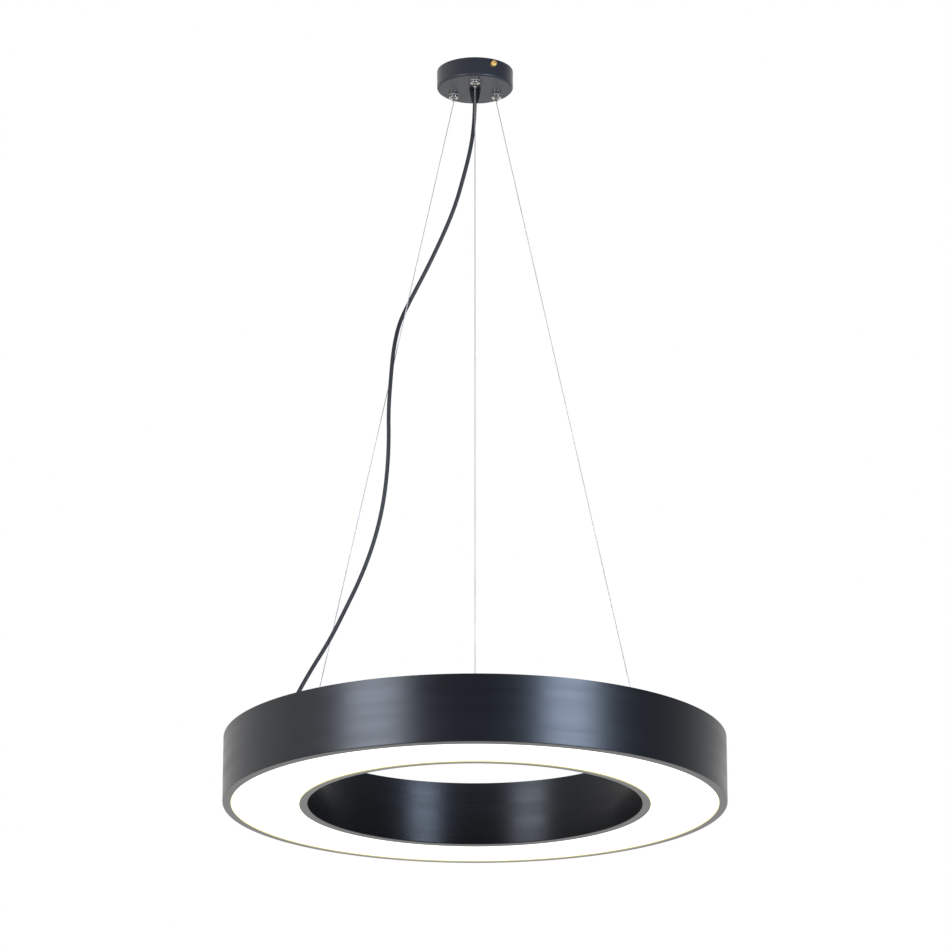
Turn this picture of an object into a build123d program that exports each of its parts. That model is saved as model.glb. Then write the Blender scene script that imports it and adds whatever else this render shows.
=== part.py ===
from build123d import *
import math
import os

# LED ring pendant light: a ceiling canopy carries a lit ring on three gripped wires and feeds it by a cord.
# Millimetres and degrees, +Z up. The origin is on the ceiling, midway between the bracket's two slots.

# Whole lamp
DROP = 944.0              # ceiling to the underside of the ring
LAMP_TURN = -28.0         # turn of wires, cord and ring about the lamp's axis, against the bracket
WIRE_COUNT = 3
FIRST_WIRE = 270.0        # angle of the nearest wire, before that turn

# Fits and fasteners
THREAD_GAP = 0.05         # radial, between a thread and its tapped hole
HOLE_GAP = 0.3            # radial, between a screw or stem and its plain hole
M4_D = 4.0
M4_HEAD_D = 7.6
M4_HEAD_H = 2.6
M3_D = 3.0
M3_HEAD_D = 5.6
M3_HEAD_H = 2.0
SCREW_PAST = 3.0          # end of a screw past the tab it holds
HEAD_FLAT = 0.6           # flat share of a screw head's radius
HEAD_EDGE = 0.45          # share of a screw head's height that is its straight edge

# Ring housing: two rolled walls with lips turned in under the diffuser
RING_OD = 600.0
RING_HOLE_D = 398.0
WALL_H = 80.0
RIM_STEP = 2.0            # rim of the inner wall below that of the outer wall
WALL_T = 1.2
BEND_R = 1.0              # outside of the bend between wall and lip
LIP_W = 10.0
DIFFUSER_T = 3.0
DIFFUSER_GAP = 0.5        # edge of the diffuser to each wall

# Top cover, on tabs welded to the walls
COVER_T = 1.5
COVER_RECESS = 2.0        # cover below the inner wall's rim
COVER_GAP = 0.3           # edge of the cover to each wall
TAB_COUNT = 3             # on each wall, beside the wires' anchors
TAB_W = 14.0
TAB_L = 11.0              # reach of a tab from its wall
TAB_T = 1.5
TAB_LEG = 12.0            # height of the leg that is welded to the wall
TAB_HOLE = 6.5            # screw from the wall

# LED tray, hung from the cover on standoffs
STANDOFF_COUNT = 3
STANDOFF_TURN = 30.0      # angle from a wire to the next standoff
STANDOFF_L = 36.0
STANDOFF_AF = 7.0
STANDOFF_SCREW = 7.0      # screw's reach into the standoff
TRAY_T = 1.5
TRAY_GAP = 6.0            # edge of the tray to each wall
BOARD_T = 1.6
BOARD_W = 56.0
BOARD_GAP = 14.0          # between neighbouring boards, under a standoff
CHIP_SIDE = 5.0
CHIP_H = 1.2
CHIPS_PER_ROW = 16        # along one board
CHIP_ROW_SPACING = 28.0
LINK_LAP = 4.0            # link's lap on each board
LINK_W = 5.0
LINK_T = 1.0
LINK_OFFSET = 13.0        # link from the circle of standoffs

# LED driver and the leads in the ring
DRIVER_ANGLE = 205.0      # before the lamp's turn
DRIVER_L = 130.0
DRIVER_W = 40.0
DRIVER_H = 24.0
DRIVER_ROUND = 4.0
EAR_L = 10.0
EAR_W = 22.0
EAR_T = 2.0
EAR_SCREW_SHORT = 0.3     # ear screws end this far inside the tray
LEAD_D = 4.0
LEAD_SIDES = 8            # sides of a lead's section
CORD_END = 8.0            # cord's lower end below the cover's top, where the input lead starts
LEAD_DIP = 14.0           # fall of the input lead below the cord's end
LEAD_STRAIGHT = 18.0      # straight stretch of a lead at the driver
LEAD_DETOUR = 13.0        # input lead outside the circle of standoffs
LEAD_DETOUR_ANGLE = 176.0
OUTLET_ANGLE = 233.0      # output lead's hole in the tray, before the lamp's turn
OUTLET_GAP = 0.5

# Canopy and ceiling bracket
CUP_OD = 95.0
CUP_H = 24.0
CUP_T = 1.0
CUP_ROUND = 3.0           # outside of the rounded lower edge
BRACKET_W = 16.0
BRACKET_T = 2.0
BRACKET_GAP = 1.0         # bracket's ends to the cup
BRACKET_FLANGE = 14.0     # height of the turned-down ends
BRACKET_BEND = 2.5
SLOT_SPACING = 60.0
SLOT_L = 16.0
SLOT_W = 5.0
SIDE_SCREW_Z = 7.0        # side screws below the ceiling
SIDE_HEAD_D = 7.2
SIDE_HEAD_L = 5.0
SIDE_HEAD_ROUND = 2.0
SIDE_SEAT = 0.15          # head of a side screw to the cup
SIDE_PAST = 4.0           # end of a side screw past the bracket
EARTH_Y = -12.0

# Terminal block under the bracket, with its leads from the cord
BLOCK_Y = 8.0             # face that the leads enter
BLOCK_L = 14.0
BLOCK_W = 16.0
BLOCK_H = 11.0
POLE_COUNT = 3
POLE_PITCH = 5.0
POLE_WELL_D = 3.4
POLE_WELL_DEPTH = 3.0
ENTRY_Z = 5.5             # lead holes below the block's top
ENTRY_DEPTH = 5.0
CORE_D = 1.3
CORE_PITCH = 1.4          # cores side by side at the cord's end
CORE_GAP = 0.1
CORE_APPROACH = 3.0       # straight stretch of a core before its hole
CORE_BEND = 2.0

# Wire grippers: a sprung cage of balls in a cone that narrows downwards
WIRE_D = 1.2
GRIP_R = 31.0             # grippers from the lamp's axis
STEM_D = 8.0
STEM_ABOVE = 16.0         # stem above the cup's floor
COLLAR_D = 12.0
COLLAR_TIP_D = 7.0
COLLAR_H = 4.0
COLLAR_EDGE = 2.4         # straight edge of the collar above its taper
GRIP_NUT_AF = 11.0
GRIP_NUT_H = 2.0
PLUNGER_D = 4.2
PLUNGER_BORE = 1.6
PLUNGER_GAP = 0.05
PLUNGER_OUT = 3.4         # nose below the collar
PLUNGER_HEAD = 0.8        # plunger above its balls
CONE_Z = 2.0              # start of the cone above the cup's underside
CONE_HALF_ANGLE = 10.0
CHAMBER_D = 6.0
BALL_D = 2.0
BALL_COUNT = 3
BALL_GAP = 0.05
CAP_T = 2.0
CAP_GAP = 0.02
CAP_HOLE = 1.8
SPRING_D = 3.4            # middle of the wire
SPRING_WIRE = 0.5
SPRING_SIDES = 6          # sides of the wire's section
SPRING_TURNS = 3
SPRING_SEAT = 0.02
WIRE_TAIL = 3.0           # wire above the gripper's cap
WIRE_BEND = 8.0           # bend where the wire leaves gripper and anchor
WIRE_CLEAR = 1.6          # corner of that bend past the nose or the anchor

# Wire anchors on the ring's cover
ANCHOR_OFFSET = 8.5       # anchors inside the middle of the ring's band
ANCHOR_AF = 12.0
ANCHOR_HEX_H = 4.0
ANCHOR_BARREL_D = 8.0
ANCHOR_BARREL_H = 10.0
ANCHOR_CHAMFER = 1.5
ANCHOR_STEM = 7.0         # stem below the cover's top
ANCHOR_BORE = 1.7
ANCHOR_NUT_H = 4.5
FERRULE_D = 4.0
FERRULE_L = 6.0
FERRULE_GAP = 0.1
FERRULE_SEAT = 3.0        # ferrule's shoulder above the cover's top

# Power cord and its two glands
CORD_D = 5.0
CORD_GAP = 0.2
GLAND_THREAD_D = 10.0
GLAND_AF = 14.0
GLAND_HEX_H = 3.5
GLAND_NECK_D = 8.6
GLAND_NECK_L = 8.0
GLAND_CAP_D = 13.0
GLAND_CAP_TIP_D = 9.4
GLAND_CAP_L = 14.0
GLAND_CAP_CHAMFER = 1.0
GLAND_NUT_H = 4.0
GLAND_PAST = 1.5          # thread past its nut

# Cord's route before the lamp's turn: down from the canopy, half round the left wire and into the ring
CORD_ROUTE = [
    (0.0, 0.0, -16.0),
    (0.0, 0.0, -56.0),
    (-4.2, 6.5, -95.3),
    (-13.6, 14.5, -133.0),
    (-25.0, 23.5, -172.0),
    (-41.5, 33.0, -210.0),
    (-60.5, 43.5, -248.0),
    (-79.0, 52.2, -282.0),
    (-94.0, 55.0, -313.0),
    (-101.1, 53.6, -348.0),
    (-104.2, 54.4, -386.0),
    (-107.0, 58.2, -428.0),
    (-106.2, 61.8, -470.0),
    (-108.6, 66.0, -512.0),
    (-114.3, 70.6, -554.0),
    (-125.0, 75.4, -596.5),
    (-140.5, 80.2, -638.0),
    (-159.5, 85.2, -677.5),
    (-178.0, 88.5, -715.0),
    (-201.5, 87.5, -754.5),
    (-221.0, 81.0, -794.0),
    (-236.0, 64.0, -834.0),
    (-236.0, 64.0, -876.0),
]
ARC_SHARE = 0.45          # share of the shorter run that a corner's arc takes

# Places that follow from the sizes above
OUTER_R = RING_OD / 2
INNER_R = RING_HOLE_D / 2
INNER_H = WALL_H - RIM_STEP
BOTTOM_Z = -DROP
COVER_TOP = BOTTOM_Z + INNER_H - COVER_RECESS
COVER_BOTTOM = COVER_TOP - COVER_T
TRAY_TOP = COVER_BOTTOM - STANDOFF_L
TRAY_BOTTOM = TRAY_TOP - TRAY_T
BOARD_BOTTOM = TRAY_BOTTOM - BOARD_T
MIDDLE_R = (OUTER_R + INNER_R) / 2
ANCHOR_R = MIDDLE_R - ANCHOR_OFFSET
WIRE_ANGLES = [FIRST_WIRE + LAMP_TURN + i * 360 / WIRE_COUNT for i in range(WIRE_COUNT)]
TAB_ANGLES = [WIRE_ANGLES[0] + i * 360 / TAB_COUNT for i in range(TAB_COUNT)]
STANDOFF_ANGLES = [
    WIRE_ANGLES[0] + STANDOFF_TURN + i * 360 / STANDOFF_COUNT for i in range(STANDOFF_COUNT)
]
OUTER_TAB_R = OUTER_R - WALL_T - TAB_HOLE
INNER_TAB_R = INNER_R + WALL_T + TAB_HOLE
CUP_FLOOR = CUP_T - CUP_H
NOSE_TIP = -GRIP_NUT_H - COLLAR_H - PLUNGER_OUT
STEM_TOP = CUP_T + STEM_ABOVE
CHAMBER_TOP = STEM_TOP - CAP_T
BALL_R = WIRE_D / 2 + BALL_GAP + BALL_D / 2
CONE_SLOPE = math.tan(math.radians(CONE_HALF_ANGLE))
CONE_START = PLUNGER_D / 2 + PLUNGER_GAP
CONE_AT_BALL = BALL_R + (BALL_D / 2 + BALL_GAP) / math.cos(math.radians(CONE_HALF_ANGLE))
BALL_Z = CONE_Z + (CONE_AT_BALL - CONE_START) / CONE_SLOPE
CONE_TOP = CONE_Z + (CHAMBER_D / 2 - CONE_START) / CONE_SLOPE
PLUNGER_TOP = BALL_Z + BALL_D / 2 + PLUNGER_HEAD
ANCHOR_TOP = ANCHOR_HEX_H + ANCHOR_BARREL_H


def placed(shape, radius, angle, z):
    """Shape made on the Z axis, moved out along X and swung round to the angle."""
    return Rot(0, 0, angle) * Pos(radius, 0, z) * shape


def tube(outer_d, inner_d, z0, z1):
    """Round tube on the Z axis."""
    section = Circle(outer_d / 2) - Circle(inner_d / 2)
    return extrude(Pos(0, 0, z0) * section, amount=z1 - z0)


def rod(diameter, z0, z1):
    """Round bar on the Z axis."""
    return extrude(Pos(0, 0, z0) * Circle(diameter / 2), amount=z1 - z0)


def hexagon(across_flats, bore_d, z0, z1):
    """Hexagonal prism with a round bore on the Z axis."""
    section = RegularPolygon(across_flats / 2, 6, major_radius=False) - Circle(bore_d / 2)
    return extrude(Pos(0, 0, z0) * section, amount=z1 - z0)


def lathe(corners, radii=None):
    """Solid of revolution about Z through (radius, height) corners, each rounded by its radius."""
    if radii:
        outline = FilletPolyline(*corners, radius=radii, close=True)
    else:
        outline = Polyline(*corners, close=True)
    return revolve(Plane.XZ * make_face(outline), Axis.Z)


def pan_screw(shank_d, length, head_d, head_h):
    """Screw with the seat of its head at height 0 and its shank pointing down."""
    return lathe([
        (0, -length),
        (shank_d / 2, -length),
        (shank_d / 2, 0),
        (head_d / 2, 0),
        (head_d / 2, head_h * HEAD_EDGE),
        (head_d / 2 * HEAD_FLAT, head_h),
        (0, head_h),
    ])


def arc_radii(points):
    """Largest fitting arc at each inner corner of a route."""
    radii = []
    for before, here, after in zip(points, points[1:], points[2:]):
        into = Vector(here) - Vector(before)
        out = Vector(after) - Vector(here)
        half_turn = math.radians(into.get_angle(out)) / 2
        radii.append(ARC_SHARE * min(into.length, out.length) / math.tan(half_turn))
    return radii


def tube_along(points, section, radii):
    """Tube of one section along straight runs joined by arcs, and the length of its middle."""
    path = FilletPolyline(*points, radius=radii)
    return sweep(Plane(origin=path @ 0, z_dir=path % 0) * section, path=path), path.length


def lead(points, diameter, radii):
    """Inner lead, with a many-sided section."""
    return tube_along(points, RegularPolygon(diameter / 2, LEAD_SIDES), radii)[0]


def biarc(start, start_dir, end, end_dir):
    """Two tangent arcs between two points with given directions."""
    chord = end - start
    both = start_dir + end_dir
    spread = 2 * (1 - start_dir.dot(end_dir))
    reach = (math.sqrt(chord.dot(both) ** 2 + spread * chord.dot(chord)) - chord.dot(both)) / spread
    middle = (start + end + (start_dir - end_dir) * reach) * 0.5
    first = TangentArc(start, middle, tangent=start_dir)
    return [first, TangentArc(middle, end, tangent=first % 1)]


def ring_wall(face_r, height, side):
    """Rolled wall with a bent lip and welded tabs; side is +1 where the lip points outwards, else -1."""
    back_r = face_r + side * WALL_T
    lip_r = face_r + side * LIP_W
    corners = [(face_r, 0), (face_r, height), (back_r, height), (back_r, WALL_T), (lip_r, WALL_T), (lip_r, 0)]
    wall = Pos(0, 0, BOTTOM_Z) * lathe(corners, [BEND_R, 0, 0, 0, 0, 0])
    weld_r = face_r + side * WALL_T / 2
    ledge_end = back_r + side * TAB_L
    leg_end = back_r + side * TAB_T
    ledge = Pos((weld_r + ledge_end) / 2, 0, -TAB_T / 2) * Box(abs(ledge_end - weld_r), TAB_W, TAB_T)
    leg = Pos((weld_r + leg_end) / 2, 0, -TAB_LEG / 2) * Box(abs(leg_end - weld_r), TAB_W, TAB_LEG)
    hole = Pos(back_r + side * TAB_HOLE, 0, 0) * rod(M4_D + 2 * THREAD_GAP, -TAB_T, 0)
    tab = ledge + leg - hole
    return wall + [placed(tab, 0, angle, COVER_BOTTOM) for angle in TAB_ANGLES]


def annulus(gap, thickness, z):
    """Flat ring between the two walls, with the same gap to each."""
    return Pos(0, 0, z) * tube(2 * (OUTER_R - WALL_T - gap), 2 * (INNER_R + WALL_T + gap), 0, thickness)


def top_cover(gland_place):
    """Flat cover with holes for its screws, the standoffs, the anchors and the cord gland."""
    screw_hole = rod(M4_D + 2 * HOLE_GAP, -COVER_T, 0)
    stem_hole = rod(STEM_D + 2 * HOLE_GAP, -COVER_T, 0)
    holes = [placed(screw_hole, r, a, COVER_TOP) for a in TAB_ANGLES for r in (OUTER_TAB_R, INNER_TAB_R)]
    holes += [placed(screw_hole, MIDDLE_R, a, COVER_TOP) for a in STANDOFF_ANGLES]
    holes += [placed(stem_hole, ANCHOR_R, a, COVER_TOP) for a in WIRE_ANGLES]
    holes += [gland_place * rod(GLAND_THREAD_D + 2 * HOLE_GAP, -COVER_T, 0)]
    return annulus(COVER_GAP, COVER_T, COVER_BOTTOM) - holes


def led_tray(driver_place, outlet_place):
    """Sheet that carries the boards below and the driver above."""
    screw_hole = rod(M4_D + 2 * HOLE_GAP, 0, TRAY_T)
    ear_hole = rod(M3_D + 2 * THREAD_GAP, -TRAY_T, 0)
    holes = [placed(screw_hole, MIDDLE_R, a, TRAY_BOTTOM) for a in STANDOFF_ANGLES]
    holes += [driver_place * Pos(0, y, 0) * ear_hole for y in ear_places()]
    holes += [outlet_place * rod(LEAD_D + 2 * OUTLET_GAP, -TRAY_T, 0)]
    return annulus(TRAY_GAP, TRAY_T, TRAY_BOTTOM) - holes


def ear_places():
    """Screws of the driver's two ears along the driver."""
    reach = (DRIVER_L + EAR_L) / 2
    return [-reach, reach]


def led_board():
    """One board between two standoffs, starting at half the gap from the first one."""
    gap_angle = math.degrees(BOARD_GAP / MIDDLE_R)
    section = Plane.XZ * Pos(MIDDLE_R, BOARD_BOTTOM + BOARD_T / 2) * Rectangle(BOARD_W, BOARD_T)
    board = revolve(section, Axis.Z, revolution_arc=360 / STANDOFF_COUNT - gap_angle)
    return Rot(0, 0, gap_angle / 2) * board


def led_chips():
    """Two rows of chips under each board."""
    gap_angle = math.degrees(BOARD_GAP / MIDDLE_R)
    pitch = (360 / STANDOFF_COUNT - gap_angle) / CHIPS_PER_ROW
    chip = Pos(0, 0, -CHIP_H / 2) * Box(CHIP_SIDE, CHIP_SIDE, CHIP_H)
    chips = []
    for start in STANDOFF_ANGLES:
        for i in range(CHIPS_PER_ROW):
            for row in (-CHIP_ROW_SPACING / 2, CHIP_ROW_SPACING / 2):
                angle = start + gap_angle / 2 + (i + 0.5) * pitch
                chips.append(placed(chip, MIDDLE_R + row, angle, BOARD_BOTTOM))
    return chips


def led_driver():
    """Closed driver case with an ear at each end, lying along Y."""
    case = extrude(RectangleRounded(DRIVER_W, DRIVER_L, DRIVER_ROUND), amount=DRIVER_H)
    case = chamfer(case.edges().group_by(Axis.Z)[-1], EAR_T / 2)
    ears = extrude(RectangleRounded(EAR_W, DRIVER_L + 2 * EAR_L, EAR_T), amount=EAR_T)
    holes = [Pos(0, y, 0) * rod(M3_D + 2 * HOLE_GAP, 0, EAR_T) for y in ear_places()]
    return case + ears - holes


def wire_anchor():
    """Anchor on the cover: hexagon, chamfered barrel, stem, and a shoulder inside for the ferrule."""
    half = ANCHOR_BARREL_D / 2
    barrel = lathe([
        (ANCHOR_BORE / 2, 0),
        (half, 0),
        (half, ANCHOR_TOP - ANCHOR_CHAMFER),
        (half - ANCHOR_CHAMFER, ANCHOR_TOP),
        (ANCHOR_BORE / 2, ANCHOR_TOP),
    ])
    flange = hexagon(ANCHOR_AF, ANCHOR_BORE, 0, ANCHOR_HEX_H)
    stem = tube(STEM_D, ANCHOR_BORE, -ANCHOR_STEM, 0)
    pocket = rod(FERRULE_D + 2 * FERRULE_GAP, -ANCHOR_STEM, FERRULE_SEAT)
    return barrel + flange + stem - pocket


def gland_body(sheet_t):
    """Gland's body on a sheet of the given thickness, with its seat at height 0 and its mouth up."""
    bore_d = CORD_D + 2 * CORD_GAP
    thread = tube(GLAND_THREAD_D, bore_d, -sheet_t - GLAND_NUT_H - GLAND_PAST, 0)
    flange = hexagon(GLAND_AF, bore_d, 0, GLAND_HEX_H)
    neck = tube(GLAND_NECK_D, bore_d, GLAND_HEX_H, GLAND_HEX_H + GLAND_NECK_L)
    return thread + flange + neck


def gland_cap():
    """Tapered cap screwed on the gland's neck, closing round the cord."""
    bore_r = CORD_D / 2 + CORD_GAP
    neck_r = GLAND_NECK_D / 2 + THREAD_GAP
    neck_end = GLAND_HEX_H + GLAND_NECK_L
    tip = GLAND_HEX_H + GLAND_CAP_L
    return lathe([
        (neck_r, GLAND_HEX_H),
        (GLAND_CAP_D / 2, GLAND_HEX_H),
        (GLAND_CAP_TIP_D / 2, tip - GLAND_CAP_CHAMFER),
        (GLAND_CAP_TIP_D / 2 - GLAND_CAP_CHAMFER, tip),
        (bore_r, tip),
        (bore_r, neck_end),
        (neck_r, neck_end),
    ])


def gland_nut(sheet_t):
    """Nut on the gland's thread, on the sheet's inner side."""
    return hexagon(GLAND_AF, GLAND_THREAD_D + 2 * THREAD_GAP, -sheet_t - GLAND_NUT_H, -sheet_t)


def canopy_cup(grip_places, side_places):
    """Drawn cup, open to the ceiling, with a rounded lower edge."""
    outer = CUP_OD / 2
    inner = outer - CUP_T
    corners = [(0, -CUP_H), (outer, -CUP_H), (outer, 0), (inner, 0), (inner, CUP_FLOOR), (0, CUP_FLOOR)]
    cup = lathe(corners, [0, CUP_ROUND, 0, 0, 0, 0])
    holes = [place * rod(STEM_D + 2 * HOLE_GAP, 0, CUP_T) for place in grip_places]
    holes += [place * rod(M4_D + 2 * HOLE_GAP, -outer, 0) for place in side_places]
    holes += [Pos(0, 0, -CUP_H) * rod(GLAND_THREAD_D + 2 * HOLE_GAP, 0, CUP_T)]
    return cup - holes


def ceiling_bracket(side_places, block_screw_y):
    """Bent strap with two ceiling slots, and tapped holes for the side screws, block and earth screw."""
    end = CUP_OD / 2 - CUP_T - BRACKET_GAP
    inside = end - BRACKET_T
    corners = [
        (-end, -BRACKET_FLANGE),
        (-end, 0),
        (end, 0),
        (end, -BRACKET_FLANGE),
        (inside, -BRACKET_FLANGE),
        (inside, -BRACKET_T),
        (-inside, -BRACKET_T),
        (-inside, -BRACKET_FLANGE),
    ]
    inner_bend = BRACKET_BEND - BRACKET_T
    outline = FilletPolyline(
        *corners,
        radius=[0, BRACKET_BEND, BRACKET_BEND, 0, 0, inner_bend, inner_bend, 0],
        close=True,
    )
    strap = extrude(Plane.YZ * make_face(outline), amount=BRACKET_W / 2, both=True)
    slot = extrude(SlotOverall(SLOT_L, SLOT_W, rotation=90), amount=-BRACKET_T)
    cuts = [Pos(0, y, 0) * slot for y in (-SLOT_SPACING / 2, SLOT_SPACING / 2)]
    cuts += [place * rod(M4_D + 2 * THREAD_GAP, -CUP_OD / 4, 0) for place in side_places]
    cuts += [Pos(0, EARTH_Y, 0) * rod(M4_D + 2 * THREAD_GAP, -BRACKET_T, 0)]
    cuts += [Pos(0, block_screw_y, 0) * rod(M3_D + 2 * THREAD_GAP, -BRACKET_T, 0)]
    return strap - cuts


def side_screw():
    """Brass screw with a rounded head, its seat at height 0 and its shank pointing down."""
    length = SIDE_SEAT + CUP_T + BRACKET_GAP + BRACKET_T + SIDE_PAST
    corners = [
        (0, -length),
        (M4_D / 2, -length),
        (M4_D / 2, 0),
        (SIDE_HEAD_D / 2, 0),
        (SIDE_HEAD_D / 2, SIDE_HEAD_L),
        (0, SIDE_HEAD_L),
    ]
    return lathe(corners, [0, 0, 0, 0, SIDE_HEAD_ROUND, 0])


def pole_places():
    """Poles of the terminal block across the bracket, counted from its middle."""
    return [i - (POLE_COUNT - 1) / 2 for i in range(POLE_COUNT)]


def terminal_block(screw_y):
    """Block with a lead hole and a clamp screw's well for each pole, screwed up to the bracket."""
    top = -BRACKET_T
    entry_z = top - ENTRY_Z
    block = Pos(0, BLOCK_Y + BLOCK_L / 2, top - BLOCK_H / 2) * Box(BLOCK_W, BLOCK_L, BLOCK_H)
    entry = Rot(-90, 0, 0) * rod(CORE_D + 2 * CORE_GAP, 0, ENTRY_DEPTH)
    well = rod(POLE_WELL_D, 0, POLE_WELL_DEPTH)
    cuts = [Pos(0, screw_y, 0) * rod(M3_D + 2 * HOLE_GAP, top - BLOCK_H, top)]
    for pole in pole_places():
        cuts.append(Pos(pole * POLE_PITCH, BLOCK_Y, entry_z) * entry)
        cuts.append(Pos(pole * POLE_PITCH, BLOCK_Y + POLE_WELL_D, top - BLOCK_H) * well)
    return block - cuts


def canopy_leads():
    """Three cores from the cord's upper end into the terminal block."""
    cord_end = CORD_ROUTE[0][2]
    entry_z = -BRACKET_T - ENTRY_Z
    cores = []
    for pole in pole_places():
        points = [
            (pole * CORE_PITCH, 0, cord_end),
            (pole * CORE_PITCH, 0, entry_z),
            (pole * POLE_PITCH, BLOCK_Y - CORE_APPROACH, entry_z),
            (pole * POLE_PITCH, BLOCK_Y + ENTRY_DEPTH, entry_z),
        ]
        if pole == 0:
            points.pop(2)
        cores.append(lead(points, CORE_D, [CORE_BEND] * (len(points) - 2)))
    return cores


def gripper_body():
    """Gripper's stem and tapered collar, bored for the plunger, the cone and the spring's chamber."""
    stem_r = STEM_D / 2
    chamber_r = CHAMBER_D / 2
    collar_z = -GRIP_NUT_H
    return lathe([
        (CONE_START, collar_z - COLLAR_H),
        (COLLAR_TIP_D / 2, collar_z - COLLAR_H),
        (COLLAR_D / 2, collar_z - COLLAR_EDGE),
        (COLLAR_D / 2, collar_z),
        (stem_r, collar_z),
        (stem_r, STEM_TOP),
        (chamber_r, STEM_TOP),
        (chamber_r, CONE_TOP),
        (CONE_START, CONE_Z),
    ])


def gripper_plunger():
    """Tube with a nose below and a cage of radial ball holes at its top."""
    body = tube(PLUNGER_D, PLUNGER_BORE, NOSE_TIP, PLUNGER_TOP)
    hole = Pos(0, 0, BALL_Z) * Rot(0, 90, 0) * rod(BALL_D + 2 * BALL_GAP, 0, PLUNGER_D)
    return body - [Rot(0, 0, i * 360 / BALL_COUNT) * hole for i in range(BALL_COUNT)]


def gripper_balls():
    """Balls between the wire and the cone."""
    return [placed(Sphere(BALL_D / 2), BALL_R, i * 360 / BALL_COUNT, BALL_Z) for i in range(BALL_COUNT)]


def gripper_spring():
    """Coil between the plunger and the cap, and the least gap between its turns."""
    first = PLUNGER_TOP + SPRING_WIRE / 2 + SPRING_SEAT
    last = CHAMBER_TOP - SPRING_WIRE / 2 - SPRING_SEAT
    pitch = (last - first) / SPRING_TURNS
    radius = SPRING_D / 2
    rise = pitch / (2 * math.pi)
    points = []
    directions = []
    for i in range(2 * SPRING_TURNS + 1):
        angle = math.pi * i
        points.append(Vector(radius * math.cos(angle), radius * math.sin(angle), first + rise * angle))
        directions.append(Vector(-radius * math.sin(angle), radius * math.cos(angle), rise).normalized())
    arcs = []
    for i in range(2 * SPRING_TURNS):
        arcs += biarc(points[i], directions[i], points[i + 1], directions[i + 1])
    path = Wire(arcs)
    wire_end = Plane(origin=path @ 0, x_dir=(1, 0, 0), z_dir=path % 0)
    section = wire_end * RegularPolygon(SPRING_WIRE / 2, SPRING_SIDES)
    return sweep(section, path=path), pitch * math.cos(math.atan(rise / radius)) - SPRING_WIRE


def suspension_wire(angle):
    """Wire from the gripper's cap down to the ferrule in the ring's anchor."""
    points = [
        Vector(GRIP_R, 0, STEM_TOP - CUP_H + WIRE_TAIL),
        Vector(GRIP_R, 0, NOSE_TIP - CUP_H - WIRE_CLEAR),
        Vector(ANCHOR_R, 0, COVER_TOP + ANCHOR_TOP + WIRE_CLEAR),
        Vector(ANCHOR_R, 0, COVER_TOP + FERRULE_SEAT - FERRULE_L),
    ]
    return Rot(0, 0, angle) * tube_along(points, Circle(WIRE_D / 2), [WIRE_BEND, WIRE_BEND])[0]


def save(name, *solids):
    """Write one node's solids."""
    shape = solids[0] if len(solids) == 1 else Compound(list(solids))
    export_step(shape, f"parts/{name}.step")


os.makedirs("parts", exist_ok=True)

grip_places = [Rot(0, 0, angle) * Pos(GRIP_R, 0, -CUP_H) for angle in WIRE_ANGLES]
anchor_places = [Rot(0, 0, angle) * Pos(ANCHOR_R, 0, COVER_TOP) for angle in WIRE_ANGLES]
side_seat = CUP_OD / 2 + SIDE_SEAT
side_places = [
    Pos(0, -side_seat, -SIDE_SCREW_Z) * Rot(90, 0, 0),
    Pos(0, side_seat, -SIDE_SCREW_Z) * Rot(-90, 0, 0),
]
lamp = Rot(0, 0, LAMP_TURN)
cord_points = [(lamp * Pos(*point)).position for point in CORD_ROUTE]
grip_gland = Pos(0, 0, -CUP_H) * Rot(180, 0, 0)
ring_gland = lamp * Pos(CORD_ROUTE[-1][0], CORD_ROUTE[-1][1], COVER_TOP)
driver_place = Rot(0, 0, DRIVER_ANGLE + LAMP_TURN) * Pos(MIDDLE_R, 0, TRAY_TOP)
outlet_place = Rot(0, 0, OUTLET_ANGLE + LAMP_TURN) * Pos(MIDDLE_R, 0, TRAY_TOP)
block_screw_y = BLOCK_Y + BLOCK_L - M3_HEAD_D / 2

# Canopy and bracket
save("ceiling_bracket", ceiling_bracket(side_places, block_screw_y))
save("canopy_cup", canopy_cup(grip_places, side_places))
for i, place in enumerate(side_places, 1):
    save(f"side_screw_{i}", place * side_screw())
earth_screw = Rot(180, 0, 0) * pan_screw(M4_D, BRACKET_T, M4_HEAD_D, M4_HEAD_H)
save("earth_screw", Pos(0, EARTH_Y, -BRACKET_T) * earth_screw)
save("terminal_block", terminal_block(block_screw_y))
block_screw = Rot(180, 0, 0) * pan_screw(M3_D, BLOCK_H + BRACKET_T, M3_HEAD_D, M3_HEAD_H)
save("terminal_screw", Pos(0, block_screw_y, -BRACKET_T - BLOCK_H) * block_screw)
save("canopy_leads", *canopy_leads())
save("cord_grip", grip_gland * gland_body(CUP_T))
save("cord_grip_cap", grip_gland * gland_cap())
save("cord_grip_nut", grip_gland * gland_nut(CUP_T))

# Wire grippers and wires
spring, spring_gap = gripper_spring()
nut = hexagon(GRIP_NUT_AF, STEM_D + 2 * THREAD_GAP, 0, GRIP_NUT_H)
grip_cap = tube(CHAMBER_D - 2 * CAP_GAP, CAP_HOLE, CHAMBER_TOP, STEM_TOP)
for i, place in enumerate(grip_places, 1):
    save(f"gripper_body_{i}", place * gripper_body())
    save(f"gripper_plunger_{i}", place * gripper_plunger())
    save(f"gripper_balls_{i}", *[place * ball for ball in gripper_balls()])
    save(f"gripper_spring_{i}", place * spring)
    save(f"suspension_wire_{i}", suspension_wire(WIRE_ANGLES[i - 1]))
save("gripper_outer_nuts", *[place * Pos(0, 0, -GRIP_NUT_H) * nut for place in grip_places])
save("gripper_inner_nuts", *[place * Pos(0, 0, CUP_T) * nut for place in grip_places])
save("gripper_caps", *[place * grip_cap for place in grip_places])

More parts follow.
